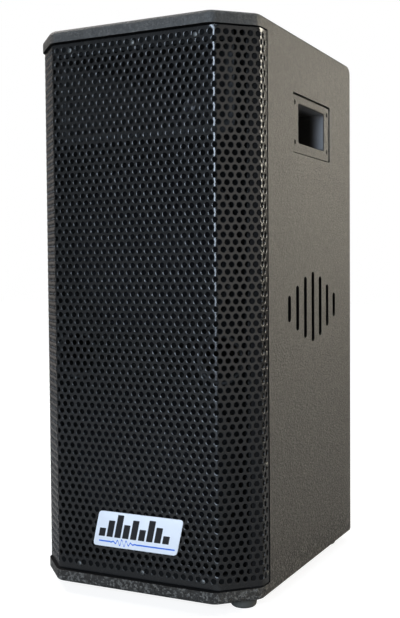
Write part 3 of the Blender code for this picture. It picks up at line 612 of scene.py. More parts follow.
SHEATH = make_plastic("lead_sheath", (0.020, 0.020, 0.026), (0.040, 0.040, 0.050), (0.4, 0.55))
SCREW = make_metal("dulled_zinc_screw", (0.07, 0.07, 0.07), (0.17, 0.17, 0.16), (0.45, 0.6))
BLACK_SCREW = make_metal("blackened_screw", (0.015, 0.015, 0.015), (0.04, 0.04, 0.04), (0.5, 0.65))
ZINC = make_metal("plated_steel", (0.40, 0.40, 0.41), (0.62, 0.62, 0.64))
CAST = make_powder_coat("cast_basket_paint", (0.004, 0.004, 0.004), (0.009, 0.009, 0.009),
                        (0.65, 0.8), 0.12, 0.08)
FERRITE = make_plastic("ferrite_ceramic", (0.028, 0.028, 0.031), (0.060, 0.060, 0.064),
                       (0.5, 0.7), 500.0, 0.4)
TITANIUM = make_metal("formed_titanium", (0.16, 0.16, 0.17), (0.26, 0.26, 0.27), (0.4, 0.55))
SPIDER = make_cloth("spider_cloth", (0.22, 0.14, 0.05), (0.42, 0.30, 0.14))
SURROUND = make_cloth("surround_cloth", (0.005, 0.005, 0.005), (0.014, 0.014, 0.015))
PULP = make_paper()
FELT = make_felt()
BOARD = make_board()
WINDING = make_winding()
TIMBER = make_timber()
CAPACITOR = make_film("capacitor_film", (0.50, 0.36, 0.06), (0.62, 0.47, 0.12))
CERAMIC = make_plastic("ceramic_body", (0.62, 0.61, 0.57), (0.74, 0.73, 0.69), (0.6, 0.8), 600.0)
WHITE_FILM = make_film("badge_white_film", (0.74, 0.76, 0.80), (0.84, 0.85, 0.88), (0.3, 0.42))
BLACK_FILM = make_film("badge_black_print", (0.006, 0.006, 0.008), (0.014, 0.014, 0.016))
BLUE_FILM = make_film("badge_blue_print", (0.015, 0.12, 0.58), (0.025, 0.17, 0.70))


# ---- Case
HANDLE_LOW, HANDLE_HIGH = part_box("handle_pocket_right")
BAR_CENTRE = (FRONT + 0.265, BASE + 0.412)
BAR_PITCH = 0.0346
BAR_WIDTH = 0.013
BAR_TALLEST = 0.112
BAR_SHARES = (0.36, 0.62, 0.86, 1.0, 0.86, 0.62, 0.36)
BAR_DEPTH = 0.004
MOUTH_DEPTHS = (FRONT + 0.207, FRONT + 0.3255)
MOUTH_HEIGHTS = (BASE + 0.667, BASE + 0.727)
POCKET_FLANGE = 0.0035
POCKET_WALL = 0.003
HANDLE_DIMPLE = 0.0016
HANDLE_SCREWS = [
    (FRONT + depth, BASE + height) for depth in (0.1905, 0.338) for height in (0.6665, 0.7275)
]


def slant_line(inset):
    """x minus depth along the chamfer of the grille, moved in by inset."""
    return HALF - CHAMFER - (GRILLE_INSET + inset) * math.sqrt(2)


def case_block():
    """Solid case with every outer edge rounded, before it is hollowed."""
    plan = [
        (HALF - CHAMFER, FRONT), (HALF, FRONT + CHAMFER), (HALF, BACK),
        (-HALF, BACK), (-HALF, FRONT + CHAMFER), (-HALF + CHAMFER, FRONT),
    ]
    bm = outline_solid(plan, "Z", BASE, TOP)

    def at_top_back(edge):
        return all(v.co.z > TOP - 1e-5 and v.co.y > BACK - 1e-5 for v in edge.verts)

    bevel_edges(bm, at_top_back, REAR_TOP_RADIUS, 8)
    bm.normal_update()

    def front_corner(edge):
        upright = abs(edge.verts[0].co.z - edge.verts[1].co.z) > TOP / 2
        return upright and all(v.co.y < FRONT + CHAMFER + 1e-4 for v in edge.verts)

    bevel_edges(bm, front_corner, CORNER_ROUNDING, 8)
    bm.normal_update()

    def outer(edge):
        return len(edge.link_faces) == 2 and edge.calc_face_angle() > math.radians(30)

    bevel_edges(bm, outer, RIM_RADIUS, 5)
    return bm


def hollow_cutter():
    """Space in front of the baffle, the grille's rebates and the inside of the case in one."""
    beyond = HALF + 0.02
    inset = SHEET + FIT_GAP
    side = GRILLE_HALF - inset
    right = [
        (beyond, FRONT - 0.02),
        (beyond, REBATE_BACK),
        (side, REBATE_BACK),
        (side, FRONT + side - slant_line(inset)),
        (BAFFLE_FACE - FRONT + slant_line(inset), BAFFLE_FACE),
        (INNER_HALF, BAFFLE_FACE),
        (INNER_HALF, REAR_LOW.y),
    ]
    left = [(-x, y) for x, y in reversed(right)]
    return outline_solid(right + left, "Z", FLOOR_LEVEL, CEILING)


def bar_cutters(side):
    """Routed bars on one side, as rounded slots."""
    made = []
    middle = (len(BAR_SHARES) - 1) / 2
    low, high = sorted((side * (HALF - BAR_DEPTH), side * (HALF + BAR_DEPTH)))
    for index, share in enumerate(BAR_SHARES):
        centre = (BAR_CENTRE[0] + (index - middle) * BAR_PITCH, BAR_CENTRE[1])
        size = (BAR_WIDTH, BAR_TALLEST * share)
        outline = rounded_rectangle(centre, size, BAR_WIDTH / 2 - FIT_GAP, 6)
        made.append(outline_solid(outline, "X", low, high))
    return made


def side_openings(side):
    """Cutters of one side panel: the handle's recess, a little larger at its back and top."""
    floor = side * (HANDLE_HIGH.x - POCKET_FLANGE - FIT_GAP)
    low, high = sorted((floor, side * (HALF + 0.01)))
    centre = ((HANDLE_LOW.y + HANDLE_HIGH.y) / 2 + 0.0007, FLANGE_CENTRE[1] + 0.0007)
    size = (FLANGE_SIZE[0] + 0.0026, FLANGE_SIZE[1] + 0.0038)
    recess = outline_solid(rounded_rectangle(centre, size, 0.003, 4), "X", low, high)
    low, high = sorted((side * (INNER_HALF - 0.01), side * (HALF + 0.01)))
    size = (MOUTH_SIZE[0] + 0.010, MOUTH_SIZE[1] + 0.010)
    window = outline_solid(rounded_rectangle(MOUTH_CENTRE, size, 0.003, 2), "X", low, high)
    return recess, window


FLANGE_CENTRE = ((HANDLE_LOW.y + HANDLE_HIGH.y) / 2, (HANDLE_LOW.z + HANDLE_HIGH.z) / 2)
FLANGE_SIZE = (HANDLE_HIGH.y - HANDLE_LOW.y, HANDLE_HIGH.z - HANDLE_LOW.z)
MOUTH_CENTRE = (sum(MOUTH_DEPTHS) / 2, sum(MOUTH_HEIGHTS) / 2)
MOUTH_SIZE = (MOUTH_DEPTHS[1] - MOUTH_DEPTHS[0], MOUTH_HEIGHTS[1] - MOUTH_HEIGHTS[0])
PLATE_CENTRE = (0.0, (PLATE_LOW.z + PLATE_HIGH.z) / 2)
PLATE_SIZE = (PLATE_HIGH.x - PLATE_LOW.x, PLATE_HIGH.z - PLATE_LOW.z)


def make_case():
    """One painted shell in place of the five outer panels."""
    case = from_bmesh("painted_case", case_block(), PAINT)
    case.data.materials.append(BLACK_PAINT_AND_SHADE)
    # Index 1 is the near-black finish: black paint and painted shade on the carved inside, the
    # rebates and the undersides of the bands.
    carve(case, [hollow_cutter()], 1)
    recesses, windows = (list(group) for group in zip(side_openings(-1), side_openings(1)))
    size = (PLATE_SIZE[0] + 0.002, PLATE_SIZE[1] + 0.002)
    recess = rounded_rectangle(PLATE_CENTRE, size, 0.007, 6)
    recesses.append(outline_solid(recess, "Y", PLATE_LOW.y - FIT_GAP, BACK + 0.01))
    size = (PLATE_SIZE[0] - 0.030, PLATE_SIZE[1] - 0.030)
    window = rounded_rectangle(PLATE_CENTRE, size, 0.005, 4)
    windows.append(outline_solid(window, "Y", REAR_LOW.y - 0.01, BACK + 0.01))
    carve(case, recesses)
    carve(case, windows)
    # Index 1 gives the routed bars the near-black finish: black paint and painted shade in the
    # grooves.
    carve(case, bar_cutters(-1) + bar_cutters(1), 1)
    soften_case(case)
    panels = ("top_panel", "bottom_panel", "side_panel_left", "side_panel_right", "rear_panel")
    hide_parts(*panels)
    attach(case, CABINET)


def on_skin(face):
    """Whether a face belongs to the case's outside rather than to a carved wall."""
    centre = face.calc_center_median()
    at_side = abs(face.normal.x) > 0.99 and abs(centre.x) > HALF - 1e-4
    at_front = face.normal.y < -0.6 and centre.y < FRONT + CHAMFER
    at_back = face.normal.y > 0.99 and centre.y > BACK - 1e-4
    return at_side or at_front or at_back


def soften_case(case):
    """Round the rims that carving left sharp: bands over the grille, rebates, recesses, bars."""
    bm = bmesh.new()
    bm.from_mesh(case.data)
    bmesh.ops.dissolve_limit(bm, angle_limit=math.radians(0.5), verts=bm.verts, edges=bm.edges)

    def sharp_rim(edge):
        if len(edge.link_faces) != 2 or edge.calc_face_angle() < math.radians(60):
            return False
        return sum(on_skin(face) for face in edge.link_faces) == 1

    def band_rim(edge):
        gaps = [min(abs(v.co.z - FLOOR_LEVEL), abs(v.co.z - CEILING)) for v in edge.verts]
        level = max(gaps) < 1e-5
        ahead = all(v.co.y < FRONT + CHAMFER + 0.003 for v in edge.verts)
        return level and ahead and sharp_rim(edge)

    bevel_edges(bm, band_rim, BAND_ROUNDING, 4)
    bm.normal_update()
    bevel_edges(bm, sharp_rim, 0.0010, 2)
    bm.to_mesh(case.data)
    bm.free()
    smooth_flats(case, 40)


def smooth_flats(piece, sharp):
    """Smooth shading that stays flat on large faces."""
    piece.data.shade_smooth()
    piece.data.set_sharp_from_angle(angle=math.radians(sharp))
    modifier = piece.modifiers.new("face_weights", "WEIGHTED_NORMAL")
    modifier.keep_sharp = True
    modifier.weight = 80


# ---- Perforated grille
def fold_path():
    """Outer face of the folded sheet from left to right: points, normals and running length."""
    lean = slant_line(0.0)
    front = GRILLE_LOW.y
    setback = front - FRONT
    corners = [
        (-GRILLE_HALF, FLANGE_BACK),
        (-GRILLE_HALF, FRONT + GRILLE_HALF - lean),
        (-setback - lean, front),
        (setback + lean, front),
        (GRILLE_HALF, FRONT + GRILLE_HALF - lean),
        (GRILLE_HALF, FLANGE_BACK),
    ]
    points = [Vector(corners[0])]
    for index in range(1, len(corners) - 1):
        here = Vector(corners[index])
        before = (Vector(corners[index - 1]) - here).normalized()
        after = (Vector(corners[index + 1]) - here).normalized()
        half_angle = before.angle(after) / 2
        centre = here + (before + after).normalized() * BEND_RADIUS / math.sin(half_angle)
        start = here + before * BEND_RADIUS / math.tan(half_angle) - centre
        end = here + after * BEND_RADIUS / math.tan(half_angle) - centre
        turn = start.angle_signed(end)
        for step in range(7):
            points.append(centre + Matrix.Rotation(-turn * step / 6, 2) @ start)
    points.append(Vector(corners[-1]))
    path = np.array([tuple(p) for p in points])
    steps = np.diff(path, axis=0)
    lengths = np.hypot(steps[:, 0], steps[:, 1])
    along = np.concatenate([[0.0], np.cumsum(lengths)])
    tangents = steps / lengths[:, None]
    at_points = np.vstack([tangents[:1], tangents[:-1] + tangents[1:], tangents[-1:]])
    at_points /= np.linalg.norm(at_points, axis=1)[:, None]
    outward = np.stack([at_points[:, 1], -at_points[:, 0]], axis=1)
    return path, outward, along - along[-1] / 2


class SheetMesh:
    """Points and faces of the flat sheet: u along it, v up, depth into it."""

    def __init__(self, half_length, low, high):
        self.half_length = half_length
        self.low = low
        self.high = high
        self.index = {}
        self.verts = []
        self.faces = []
        self.skin_edges = set()
        self.rim_edges = set()

    def vert(self, u, v, depth):
        key = (round(u * 1e6), round(v * 1e6), round(depth * 1e6))
        if key not in self.index:
            self.index[key] = len(self.verts)
            self.verts.append((u, v, depth))
        return self.index[key]

    def face(self, corners, flat=False, skin=False):
        kept = [c for index, c in enumerate(corners) if c != corners[index - 1]]
        if len(set(kept)) < 3:
            return
        across, upward, _ = zip(*(self.verts[c] for c in kept))
        if flat and min(max(across) - min(across), max(upward) - min(upward)) < 1e-6:
            return
        self.faces.append(kept)
        if skin:
            self.skin_edges.update((kept[i - 1], end) for i, end in enumerate(kept))

    def cell(self, u, v, outline, circle):
        """One hole with the metal around it, or blank metal where a hole would meet an edge."""
        low_corner = (-self.half_length, self.low)
        high_corner = (self.half_length, self.high)
        outer = np.clip(outline + (u, v), low_corner, high_corner)
        front = [self.vert(a, b, 0.0) for a, b in outer]
        back = [self.vert(a, b, SHEET) for a, b in outer]
        margin = HOLE_RADIUS + 0.0010
        inside = self.low + margin < v < self.high - margin
        if abs(u) > self.half_length - margin or not inside:
            self.face(front, True, True)
            self.face(back[::-1], True)
            return
        rings = []
        for spread, depth in (*HOLE_LIPS, (0.0, SHEET)):
            loop = circle * (HOLE_RADIUS + spread)
            rings.append([self.vert(u + a, v + b, depth) for a, b in loop])
        for index in range(len(circle)):
            after = (index + 1) % len(circle)
            wide = rings[0]
            self.rim_edges.add(tuple(sorted((wide[index], wide[after]))))
            self.face([front[index], front[after], wide[after], wide[index]], True, True)
            for outer, inner in zip(rings, rings[1:]):
                self.face([outer[index], outer[after], inner[after], inner[index]])
            rear = rings[-1]
            self.face([rear[index], rear[after], back[after], back[index]], True)

    def close_rim(self):
        """Walls between the two skins, all round the sheet."""
        for start, end in sorted(self.skin_edges):
            if (end, start) not in self.skin_edges:
                first = self.verts[start]
                last = self.verts[end]
                behind = [self.vert(*first[:2], SHEET), self.vert(*last[:2], SHEET)]
                self.face([end, start, behind[0], behind[1]])


def make_grille():
    """Steel sheet with staggered round holes, folded round the front, with punched hole rims."""
    path, outward, along = fold_path()
    half_length = along[-1]
    sheet = SheetMesh(half_length, GRILLE_LOW.z, GRILLE_HIGH.z)
    turns = np.arange(12) * math.pi / 6
    circle = np.stack([np.cos(turns), np.sin(turns)], axis=1)
    outline = hole_cell()
    rows_down = int((HOLE_ORIGIN[1] - sheet.low) / ROW_PITCH) + 1
    rows_up = int((sheet.high - HOLE_ORIGIN[1]) / ROW_PITCH) + 1
    columns = int(half_length / HOLE_PITCH) + 2
    for row in range(-rows_down, rows_up + 1):
        shift = HOLE_ORIGIN[0] + HOLE_PITCH / 2 * (row % 2)
        for column in range(-columns, columns + 1):
            u = column * HOLE_PITCH + shift
            if abs(u) < half_length + HOLE_PITCH:
                sheet.cell(u, HOLE_ORIGIN[1] + row * ROW_PITCH, outline, circle)
    sheet.close_rim()
    flat = np.array(sheet.verts)
    lean_x = np.interp(flat[:, 0], along, outward[:, 0])
    lean_y = np.interp(flat[:, 0], along, outward[:, 1])
    x = np.interp(flat[:, 0], along, path[:, 0]) - flat[:, 2] * lean_x
    y = np.interp(flat[:, 0], along, path[:, 1]) - flat[:, 2] * lean_y
    folded = np.stack([x, y, flat[:, 1]], axis=1)
    grille = mesh_object("perforated_grille", folded, sheet.faces, GRILLE, 42.0, True)
    for edge in grille.data.edges:
        if tuple(sorted(edge.vertices)) in sheet.rim_edges:
            edge.use_edge_sharp = True
    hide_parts("front_grille")
    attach(grille, CABINET)


def hole_cell():
    """Twelve points round one hole's share of the sheet: its corners and the middles between."""
    rise = ROW_PITCH / 2
    half = HOLE_PITCH / 2
    tip = ROW_PITCH - half * half / (2 * ROW_PITCH) - rise
    top = rise + HOLE_PITCH ** 2 / (8 * ROW_PITCH)
    corners = [(half, -tip), (half, tip), (0.0, top), (-half, tip), (-half, -tip), (0.0, -top)]
    points = []
    for index, corner in enumerate(corners):
        after = corners[(index + 1) % 6]
        points.append(((corner[0] + after[0]) / 2, (corner[1] + after[1]) / 2))
        points.append(after)
    return np.array(points)


# ---- Screws
def screw_head(radius, height, sunk=0.0001):
    """Domed head with a cross recess, its back at -sunk and its top along +z."""
    profile = [(0.0, -sunk), (radius, -sunk), (radius, height * 0.35)]
    for step in range(1, 6):
        angle = math.pi / 2 * step / 6
        profile.append((radius * math.cos(angle), height * (0.35 + 0.65 * math.sin(angle))))
    profile.append((0.0, height))
    head = turned("screw_head", profile, None, (0, 0, 0), 20, aim=(0, 0, 1))
    reach = radius * 0.52
    wide = radius * 0.13
    arms = []
    for size in ((reach, wide), (wide, reach)):
        outline = [(-size[0], -size[1]), (size[0], -size[1]), size, (-size[0], size[1])]
        arms.append(outline_solid(outline, "Z", height * 0.45, height * 1.5))
    for arm in arms:
        carve(head, [arm])
    return head


def place_screws(name, groups, finish):
    """One piece of many screws: groups are (radius, height, places, direction)."""
    whole = bmesh.new()
    count = 0
    for radius, height, places, direction in groups:
        head = screw_head(radius, height)
        aim = Vector((0, 0, 1)).rotation_difference(Vector(direction)).to_matrix().to_4x4()
        for place in places:
            spin = Matrix.Rotation(count * 0.7, 4, "Z")
            copy = head.data.copy()
            copy.transform(Matrix.Translation(Vector(place)) @ aim @ spin)
            whole.from_mesh(copy)
            bpy.data.meshes.remove(copy)
            count += 1
        discard(head)
    screws = from_bmesh(name, whole, finish)
    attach(screws, CABINET)


# radius and height of each screw's head
PAN_HEAD = (0.0042, 0.0022)
TALL_HEAD = (0.0042, 0.0024)
FLANGE_HEAD = (0.0034, 0.0009)
HANDLE_HEAD = (0.0031, 0.0010)
SOCKET_HEAD = (0.0024, 0.0012)
HORN_HEAD = (0.0036, 0.0020)


def make_screws():
    """Every visible fastener of the cabinet."""
    front = GRILLE_LOW.y
    top_row = [(x, front, BASE + 0.7995) for x in (-0.1035, 0.004, 0.1055)]
    bottom_row = [(x, front, BASE + 0.0293) for x in (-0.0975, 0.012, 0.111)]
    heights = (0.033, 0.191, 0.352, 0.458, 0.621, 0.786)
    grille = [(*PAN_HEAD, top_row + bottom_row, (0, -1, 0))]
    handle = []
    for side in (-1, 1):
        spots = [(side * GRILLE_HALF, FRONT + 0.0725, BASE + height) for height in heights]
        grille.append((*FLANGE_HEAD, spots, (side, 0, 0)))
        seat = HANDLE_HIGH.x - HANDLE_DIMPLE
        spots = [(side * seat, depth, height) for depth, height in HANDLE_SCREWS]
        handle.append((*HANDLE_HEAD, spots, (side, 0, 0)))
    place_screws("grille_screws", grille, SCREW)
    place_screws("handle_screws", handle, BLACK_SCREW)

    face = PLATE_HIGH.y
    across = PLATE_SIZE[0] / 2 - 0.0075
    up = PLATE_SIZE[1] / 2 - 0.0075
    corners = [(sx * across, face, PLATE_CENTRE[1] + sz * up) for sx in (-1, 1) for sz in (-1, 1)]
    diagonal = []
    for x in SOCKET_PLACES.values():
        for sign in (-1, 1):
            reach = sign * SOCKET_SCREW_REACH
            diagonal.append((x + reach, face + SOCKET_FACE, PLATE_CENTRE[1] + reach))
    rear = [(*PAN_HEAD, corners, (0, 1, 0)), (*SOCKET_HEAD, diagonal, (0, 1, 0))]
    place_screws("connector_screws", rear, SCREW)

    woofer = []
    for height in WOOFER_HEIGHTS.values():
        for step in range(8):
            angle = 2 * math.pi * (step + 0.5) / 8
            across, up = WOOFER_BOLTS * math.cos(angle), WOOFER_BOLTS * math.sin(angle)
            woofer.append((across, BASKET_FACE, height + up))
    across, up = HORN_BOLTS
    columns = (-across, 0, across)
    horn = [(x, HORN_LOW.y, HORN_CENTRE + sign * up) for x in columns for sign in (-1, 1)]
    inner = [(*TALL_HEAD, woofer, (0, -1, 0)), (*HORN_HEAD, horn, (0, -1, 0))]
    place_screws("driver_screws", inner, BLACK_SCREW)

    feet = [centre_of(f"foot_{place}") for place in FEET]
    wells = [(x, y, BASE - 0.0075) for x, y, _ in feet]
    place_screws("foot_screws", [(*TALL_HEAD, wells, (0, 0, -1))], SCREW)


def centre_of(node):
    """Middle of a CAD node's box."""
    low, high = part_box(node)
    return (low + high) / 2


FEET = ("front_left", "front_right", "rear_left", "rear_right")
WOOFER_HEIGHTS = {role: centre_of(f"{role}_woofer_cone").z for role in ("lower", "upper")}
BASKET_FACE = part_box("lower_woofer_basket")[0].y
WOOFER_BOLTS = 0.1505
HORN_BOLTS = (0.144, 0.0645)
HORN_LOW, HORN_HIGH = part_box("horn_flare")
HORN_CENTRE = (HORN_LOW.z + HORN_HIGH.z) / 2
SOCKET_PLACES = {role: centre_of(f"speaker_socket_{role}").x for role in ("input", "link")}
SOCKET_FACE = 0.0025
SOCKET_SCREW_REACH = 0.0112


# ---- Handles
def make_handle(side, node):
    """Pocket handle: rounded flange, rolled mouth and a smooth cup."""
    front = HANDLE_HIGH.x
    back = front - POCKET_FLANGE
    floor = HANDLE_LOW.x + POCKET_WALL
    roll = 0.0020
    foot = 0.012

    def loop(about, size, shrink, radius, x):
        outline = rounded_rectangle(about, (size[0] - shrink, size[1] - shrink), radius, 8)
        return [(side * x, depth, height) for depth, height in outline]

    loops = [
        loop(FLANGE_CENTRE, FLANGE_SIZE, 0.0, 0.003, back),
        loop(FLANGE_CENTRE, FLANGE_SIZE, 0.0, 0.003, front - 0.0010),
        loop(FLANGE_CENTRE, FLANGE_SIZE, 0.0006, 0.0027, front - 0.0003),
        loop(FLANGE_CENTRE, FLANGE_SIZE, 0.0020, 0.0020, front),
    ]
    for step in range(5):
        angle = math.pi / 2 * step / 4
        spread = -2 * roll * (1 - math.sin(angle))
        plane = front - roll * (1 - math.cos(angle))
        loops.append(loop(MOUTH_CENTRE, MOUTH_SIZE, spread, 0.0045, plane))
    loops.append(loop(MOUTH_CENTRE, MOUTH_SIZE, 0.003, 0.006, front - 0.020))
    for step in range(7):
        angle = math.pi / 2 * step / 6
        shrink = 0.004 + 2 * foot * (1 - math.cos(angle))
        radius = 0.012 - 0.004 * step / 6
        plane = floor + foot * (1 - math.sin(angle))
        loops.append(loop(MOUTH_CENTRE, MOUTH_SIZE, shrink, radius, plane))
    inner_count = len(loops)
    wall = 2 * POCKET_WALL
    behind = 0.004 + 2 * foot - wall
    loops.append(loop(MOUTH_CENTRE, MOUTH_SIZE, behind, 0.010, floor - POCKET_WALL))
    loops.append(loop(MOUTH_CENTRE, MOUTH_SIZE, 0.006 - wall, 0.012, floor + foot * 0.4))
    loops.append(loop(MOUTH_CENTRE, MOUTH_SIZE, -wall, 0.007, back))
    handle = loft(f"pocket_{'right' if side > 0 else 'left'}", loops, HANDLE, ring=True,
                  sharp=50.0, floors=(inner_count - 1, inner_count))
    handle.data.materials.append(POCKET)
    within = MOUTH_SIZE[1] / 2 + 0.004
    for polygon in handle.data.polygons:
        deep = side * polygon.center.x < front - roll * 0.9
        if deep and abs(polygon.center.z - MOUTH_CENTRE[1]) < within:
            polygon.material_index = 1
    dimples = []
    for spot in HANDLE_SCREWS:
        outline = rounded_rectangle(spot, (0.0078, 0.0078), 0.00389, 5)
        low, high = sorted((side * (front - HANDLE_DIMPLE), side * (front + 0.005)))
        dimples.append(outline_solid(outline, "X", low, high))
    carve(handle, dimples)
    smooth_flats(handle, 50)
    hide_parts(node)
    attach(handle, CABINET)


# ---- Feet, badge, connector plate
TREAD_ROUNDING = 0.0055


def make_foot(corner):
    """Moulded rubber foot with a rounded tread, a well for its screw and a seat washer."""
    node = f"foot_{corner}"
    low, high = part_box(node)
    radius = (high.x - low.x) / 2
    tall = high.z - low.z
    profile = [(0.0023, 0.0), (radius - 0.0006, 0.0), (radius, 0.0006)]
    for step in range(9):
        angle = math.pi / 2 * step / 8
        out = radius - 0.0010 - TREAD_ROUNDING * (1 - math.cos(angle))
        profile.append((out, tall - TREAD_ROUNDING * (1 - math.sin(angle))))
    for step in range(4):
        angle = math.pi / 2 * step / 3
        profile.append((0.0077 - 0.0012 * math.sin(angle), tall - 0.0012 * (1 - math.cos(angle))))
    profile += [(0.0065, 0.0078), (0.0055, 0.0072), (0.0023, 0.0070)]
    centre = centre_of(node)
    place = (centre.x, centre.y, high.z)
    foot = turned(f"rubber_{node}", profile, RUBBER, place, 48, aim=(0, 0, -1))
    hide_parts(node)
    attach(foot, CABINET)


def slanted_patch(left, right, low, high, lean, radius):
    """Flat outline of a bar whose ends are level and whose sides lean."""
    base = (BADGE_LOW.z + BADGE_HIGH.z) / 2
    corners = []
    for x, z in ((left, low), (right, low), (right, high), (left, high)):
        corners.append((BADGE_MIDDLE + x + lean * z / BADGE_TALL, base + z))
    outline = []
    for index, corner in enumerate(corners):
        here = Vector(corner)
        before = (Vector(corners[index - 1]) - here).normalized() * radius
        after = (Vector(corners[(index + 1) % 4]) - here).normalized() * radius
        for step in range(5):
            t = step / 4
            outline.append(tuple(here + before * (1 - t) ** 2 + after * t ** 2))
    return outline


BADGE_MIDDLE = (BADGE_LOW.x + BADGE_HIGH.x) / 2
BADGE_LEAN = 0.012
BADGE_TALL = 0.053
BADGE_FACE = BADGE_LOW.y + 0.0004
BADGE_PRINT = (BADGE_LOW.y + 0.0002, BADGE_LOW.y + 0.0006)
BADGE_BAR_FOOT = -0.0115
BADGE_BAR_TALLEST = 0.0345
BADGE_BARS = (
    (-0.0640, -0.0535, 0.36), (-0.0505, -0.0400, 0.72), (-0.0370, -0.0265, 1.00),
    (-0.0235, -0.0130, 0.60), (-0.0100, 0.0005, 0.84), (0.0035, 0.0140, 0.48),
    (0.0170, 0.0275, 0.92), (0.0305, 0.0410, 0.66), (0.0440, 0.0545, 0.34),
)


def make_badge():
    """White plate with a row of plain black bars and a blue wave, without lettering."""
    half = (BADGE_HIGH.x - BADGE_LOW.x) / 2 - BADGE_LEAN / 2
    outline = slanted_patch(-half, half, -BADGE_TALL / 2, BADGE_TALL / 2, BADGE_LEAN, 0.006)
    bm = outline_solid(outline, "Y", BADGE_FACE, BADGE_HIGH.y)
    front = BADGE_FACE + 1e-5

    def front_rim(edge):
        flat = all(vert.co.y < front for vert in edge.verts)
        return flat and edge.calc_face_angle() > math.radians(60)

    bevel_edges(bm, front_rim, 0.0004, 2)
    plate = from_bmesh("badge_white", bm, WHITE_FILM)
    bars = bmesh.new()
    for left, right, share in BADGE_BARS:
        top = BADGE_BAR_FOOT + BADGE_BAR_TALLEST * share
        patch = slanted_patch(left, right, BADGE_BAR_FOOT, top, BADGE_LEAN, 0.0008)
        add_part(bars, outline_solid(patch, "Y", *BADGE_PRINT))
    print_black = from_bmesh("badge_bars", bars, BLACK_FILM)
    upper = []
    lower = []
    base = (BADGE_LOW.z + BADGE_HIGH.z) / 2 - 0.0185
    for step in range(121):
        t = step / 120
        swell = math.exp(-((t - 0.32) / 0.10) ** 2)
        height = 0.0052 * swell * math.sin(34 * math.pi * t)
        x = BADGE_MIDDLE - 0.066 + 0.128 * t
        upper.append((x, base + height + 0.0010))
        lower.append((x, base + height - 0.0010))
    wave = outline_solid(lower + upper[::-1], "Y", *BADGE_PRINT)
    print_blue = from_bmesh("badge_wave", wave, BLUE_FILM)
    badge = joined("contour_badge", [plate, print_black, print_blue])
    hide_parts("badge_plate")
    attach(badge, CABINET)


def make_connector_plate():
    """Steel plate with eased edges and two round openings."""
    outline = rounded_rectangle(PLATE_CENTRE, PLATE_SIZE, 0.006, 8)
    bm = outline_solid(outline, "Y", PLATE_LOW.y, PLATE_HIGH.y)

    def outer_rim(edge):
        flat = all(vert.co.y > PLATE_HIGH.y - 1e-5 for vert in edge.verts)
        return flat and edge.calc_face_angle() > math.radians(60)

    bevel_edges(bm, outer_rim, 0.0005, 2)
    plate = from_bmesh("rear_connector_plate", bm, PLATE)
    for x in SOCKET_PLACES.values():
        circle = rounded_rectangle((x, PLATE_CENTRE[1]), (0.027, 0.027), 0.01349, 8)
        carve(plate, [outline_solid(circle, "Y", PLATE_LOW.y - 0.01, PLATE_HIGH.y + 0.01)])
    smooth_flats(plate, 40)
    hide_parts("connector_plate")
    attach(plate, CABINET)


def make_socket(role):
    """Round twist-lock speaker socket: ribbed flange, keyed bore and centre core."""
    face = SOCKET_FACE
    profile = [
        (0.0, -0.022), (0.0125, -0.022), (0.0130, -0.0215), (0.0130, 0.0003), (0.0190, 0.0003),
        (0.0190, 0.0019), (0.0188, 0.0023), (0.0184, face), (0.0150, face), (0.0147, face - 0.0006),
        (0.0135, face - 0.0006), (0.0132, face), (0.0106, face), (0.0101, face - 0.0004),
        (0.0100, face - 0.0010), (0.0100, -0.014), (0.0062, -0.014), (0.0060, -0.0020),
        (0.0056, -0.0014), (0.0034, -0.0014), (0.0032, -0.0018), (0.0032, -0.0100), (0.0, -0.0100),
    ]
    place = (SOCKET_PLACES[role], PLATE_HIGH.y, PLATE_CENTRE[1])
    socket = turned(f"twist_lock_socket_{role}", profile, SOCKET, place, 64)
    for angle in (0.35, 0.35 + math.pi):
        across = 0.0108 * math.cos(angle) + place[0]
        up = 0.0108 * math.sin(angle) + place[2]
        key = rounded_rectangle((across, up), (0.0034, 0.0034), 0.0008, 3)
        carve(socket, [outline_solid(key, "Y", place[1] - 0.012, place[1] + 0.01)])
    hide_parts(f"speaker_socket_{role}")
    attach(socket, CABINET)


# ---- Drivers, horn and ports
def thick_path(path, thickness):
    """Closed profile of a thin shell from the line that its front face follows."""
    return path + [(radius, depth + thickness) for radius, depth in reversed(path)]


CONE_RIM, CONE_THROAT = 0.1265, 0.0400
ROLL_OUTER, ROLL_INNER = 0.1385, 0.1269


def make_woofer(role):
    """Cone with faint ribs, dust cap and pleated surround of one woofer."""
    moving = f"{role}_woofer_moving"
    place = (0.0, BAFFLE_FACE, WOOFER_HEIGHTS[role])
    cone_line = []
    for step in range(41):
        t = step / 40
        radius = CONE_RIM + (CONE_THROAT - CONE_RIM) * t
        depth = -0.002 + 0.0540 * t ** 0.92
        rib = 0.0005 * max(0.0, math.cos(2 * math.pi * t * 7)) ** 6 if 0.08 < t < 0.62 else 0.0
        cone_line.append((radius, depth - rib))
    cone = turned(f"{role}_ribbed_cone", thick_path(cone_line, 0.0014), PULP, place, 96)
    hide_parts(f"{role}_woofer_cone")
    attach(cone, moving)

    cap_line = [(0.0510 * step / 16, 0.0300 + 0.0138 * (step / 16) ** 2) for step in range(17)]
    cap = turned(f"{role}_domed_dust_cap", thick_path(cap_line, 0.001), PULP, place, 72)
    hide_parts(f"{role}_woofer_dust_cap")
    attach(cap, moving)

    roll = [(0.1460, -0.0078), (0.1420, -0.0078)]
    for step in range(33):
        t = step / 32
        radius = ROLL_OUTER + (ROLL_INNER - ROLL_OUTER) * t
        depth = -0.0078 + (0.0047 * t) - 0.0011 * math.sin(4 * math.pi * t) * math.sin(math.pi * t)
        roll.append((radius, depth))
    surround = turned(f"{role}_pleated_surround", thick_path(roll, 0.0007), SURROUND, place, 96)
    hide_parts(f"{role}_woofer_surround")
    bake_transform(surround)


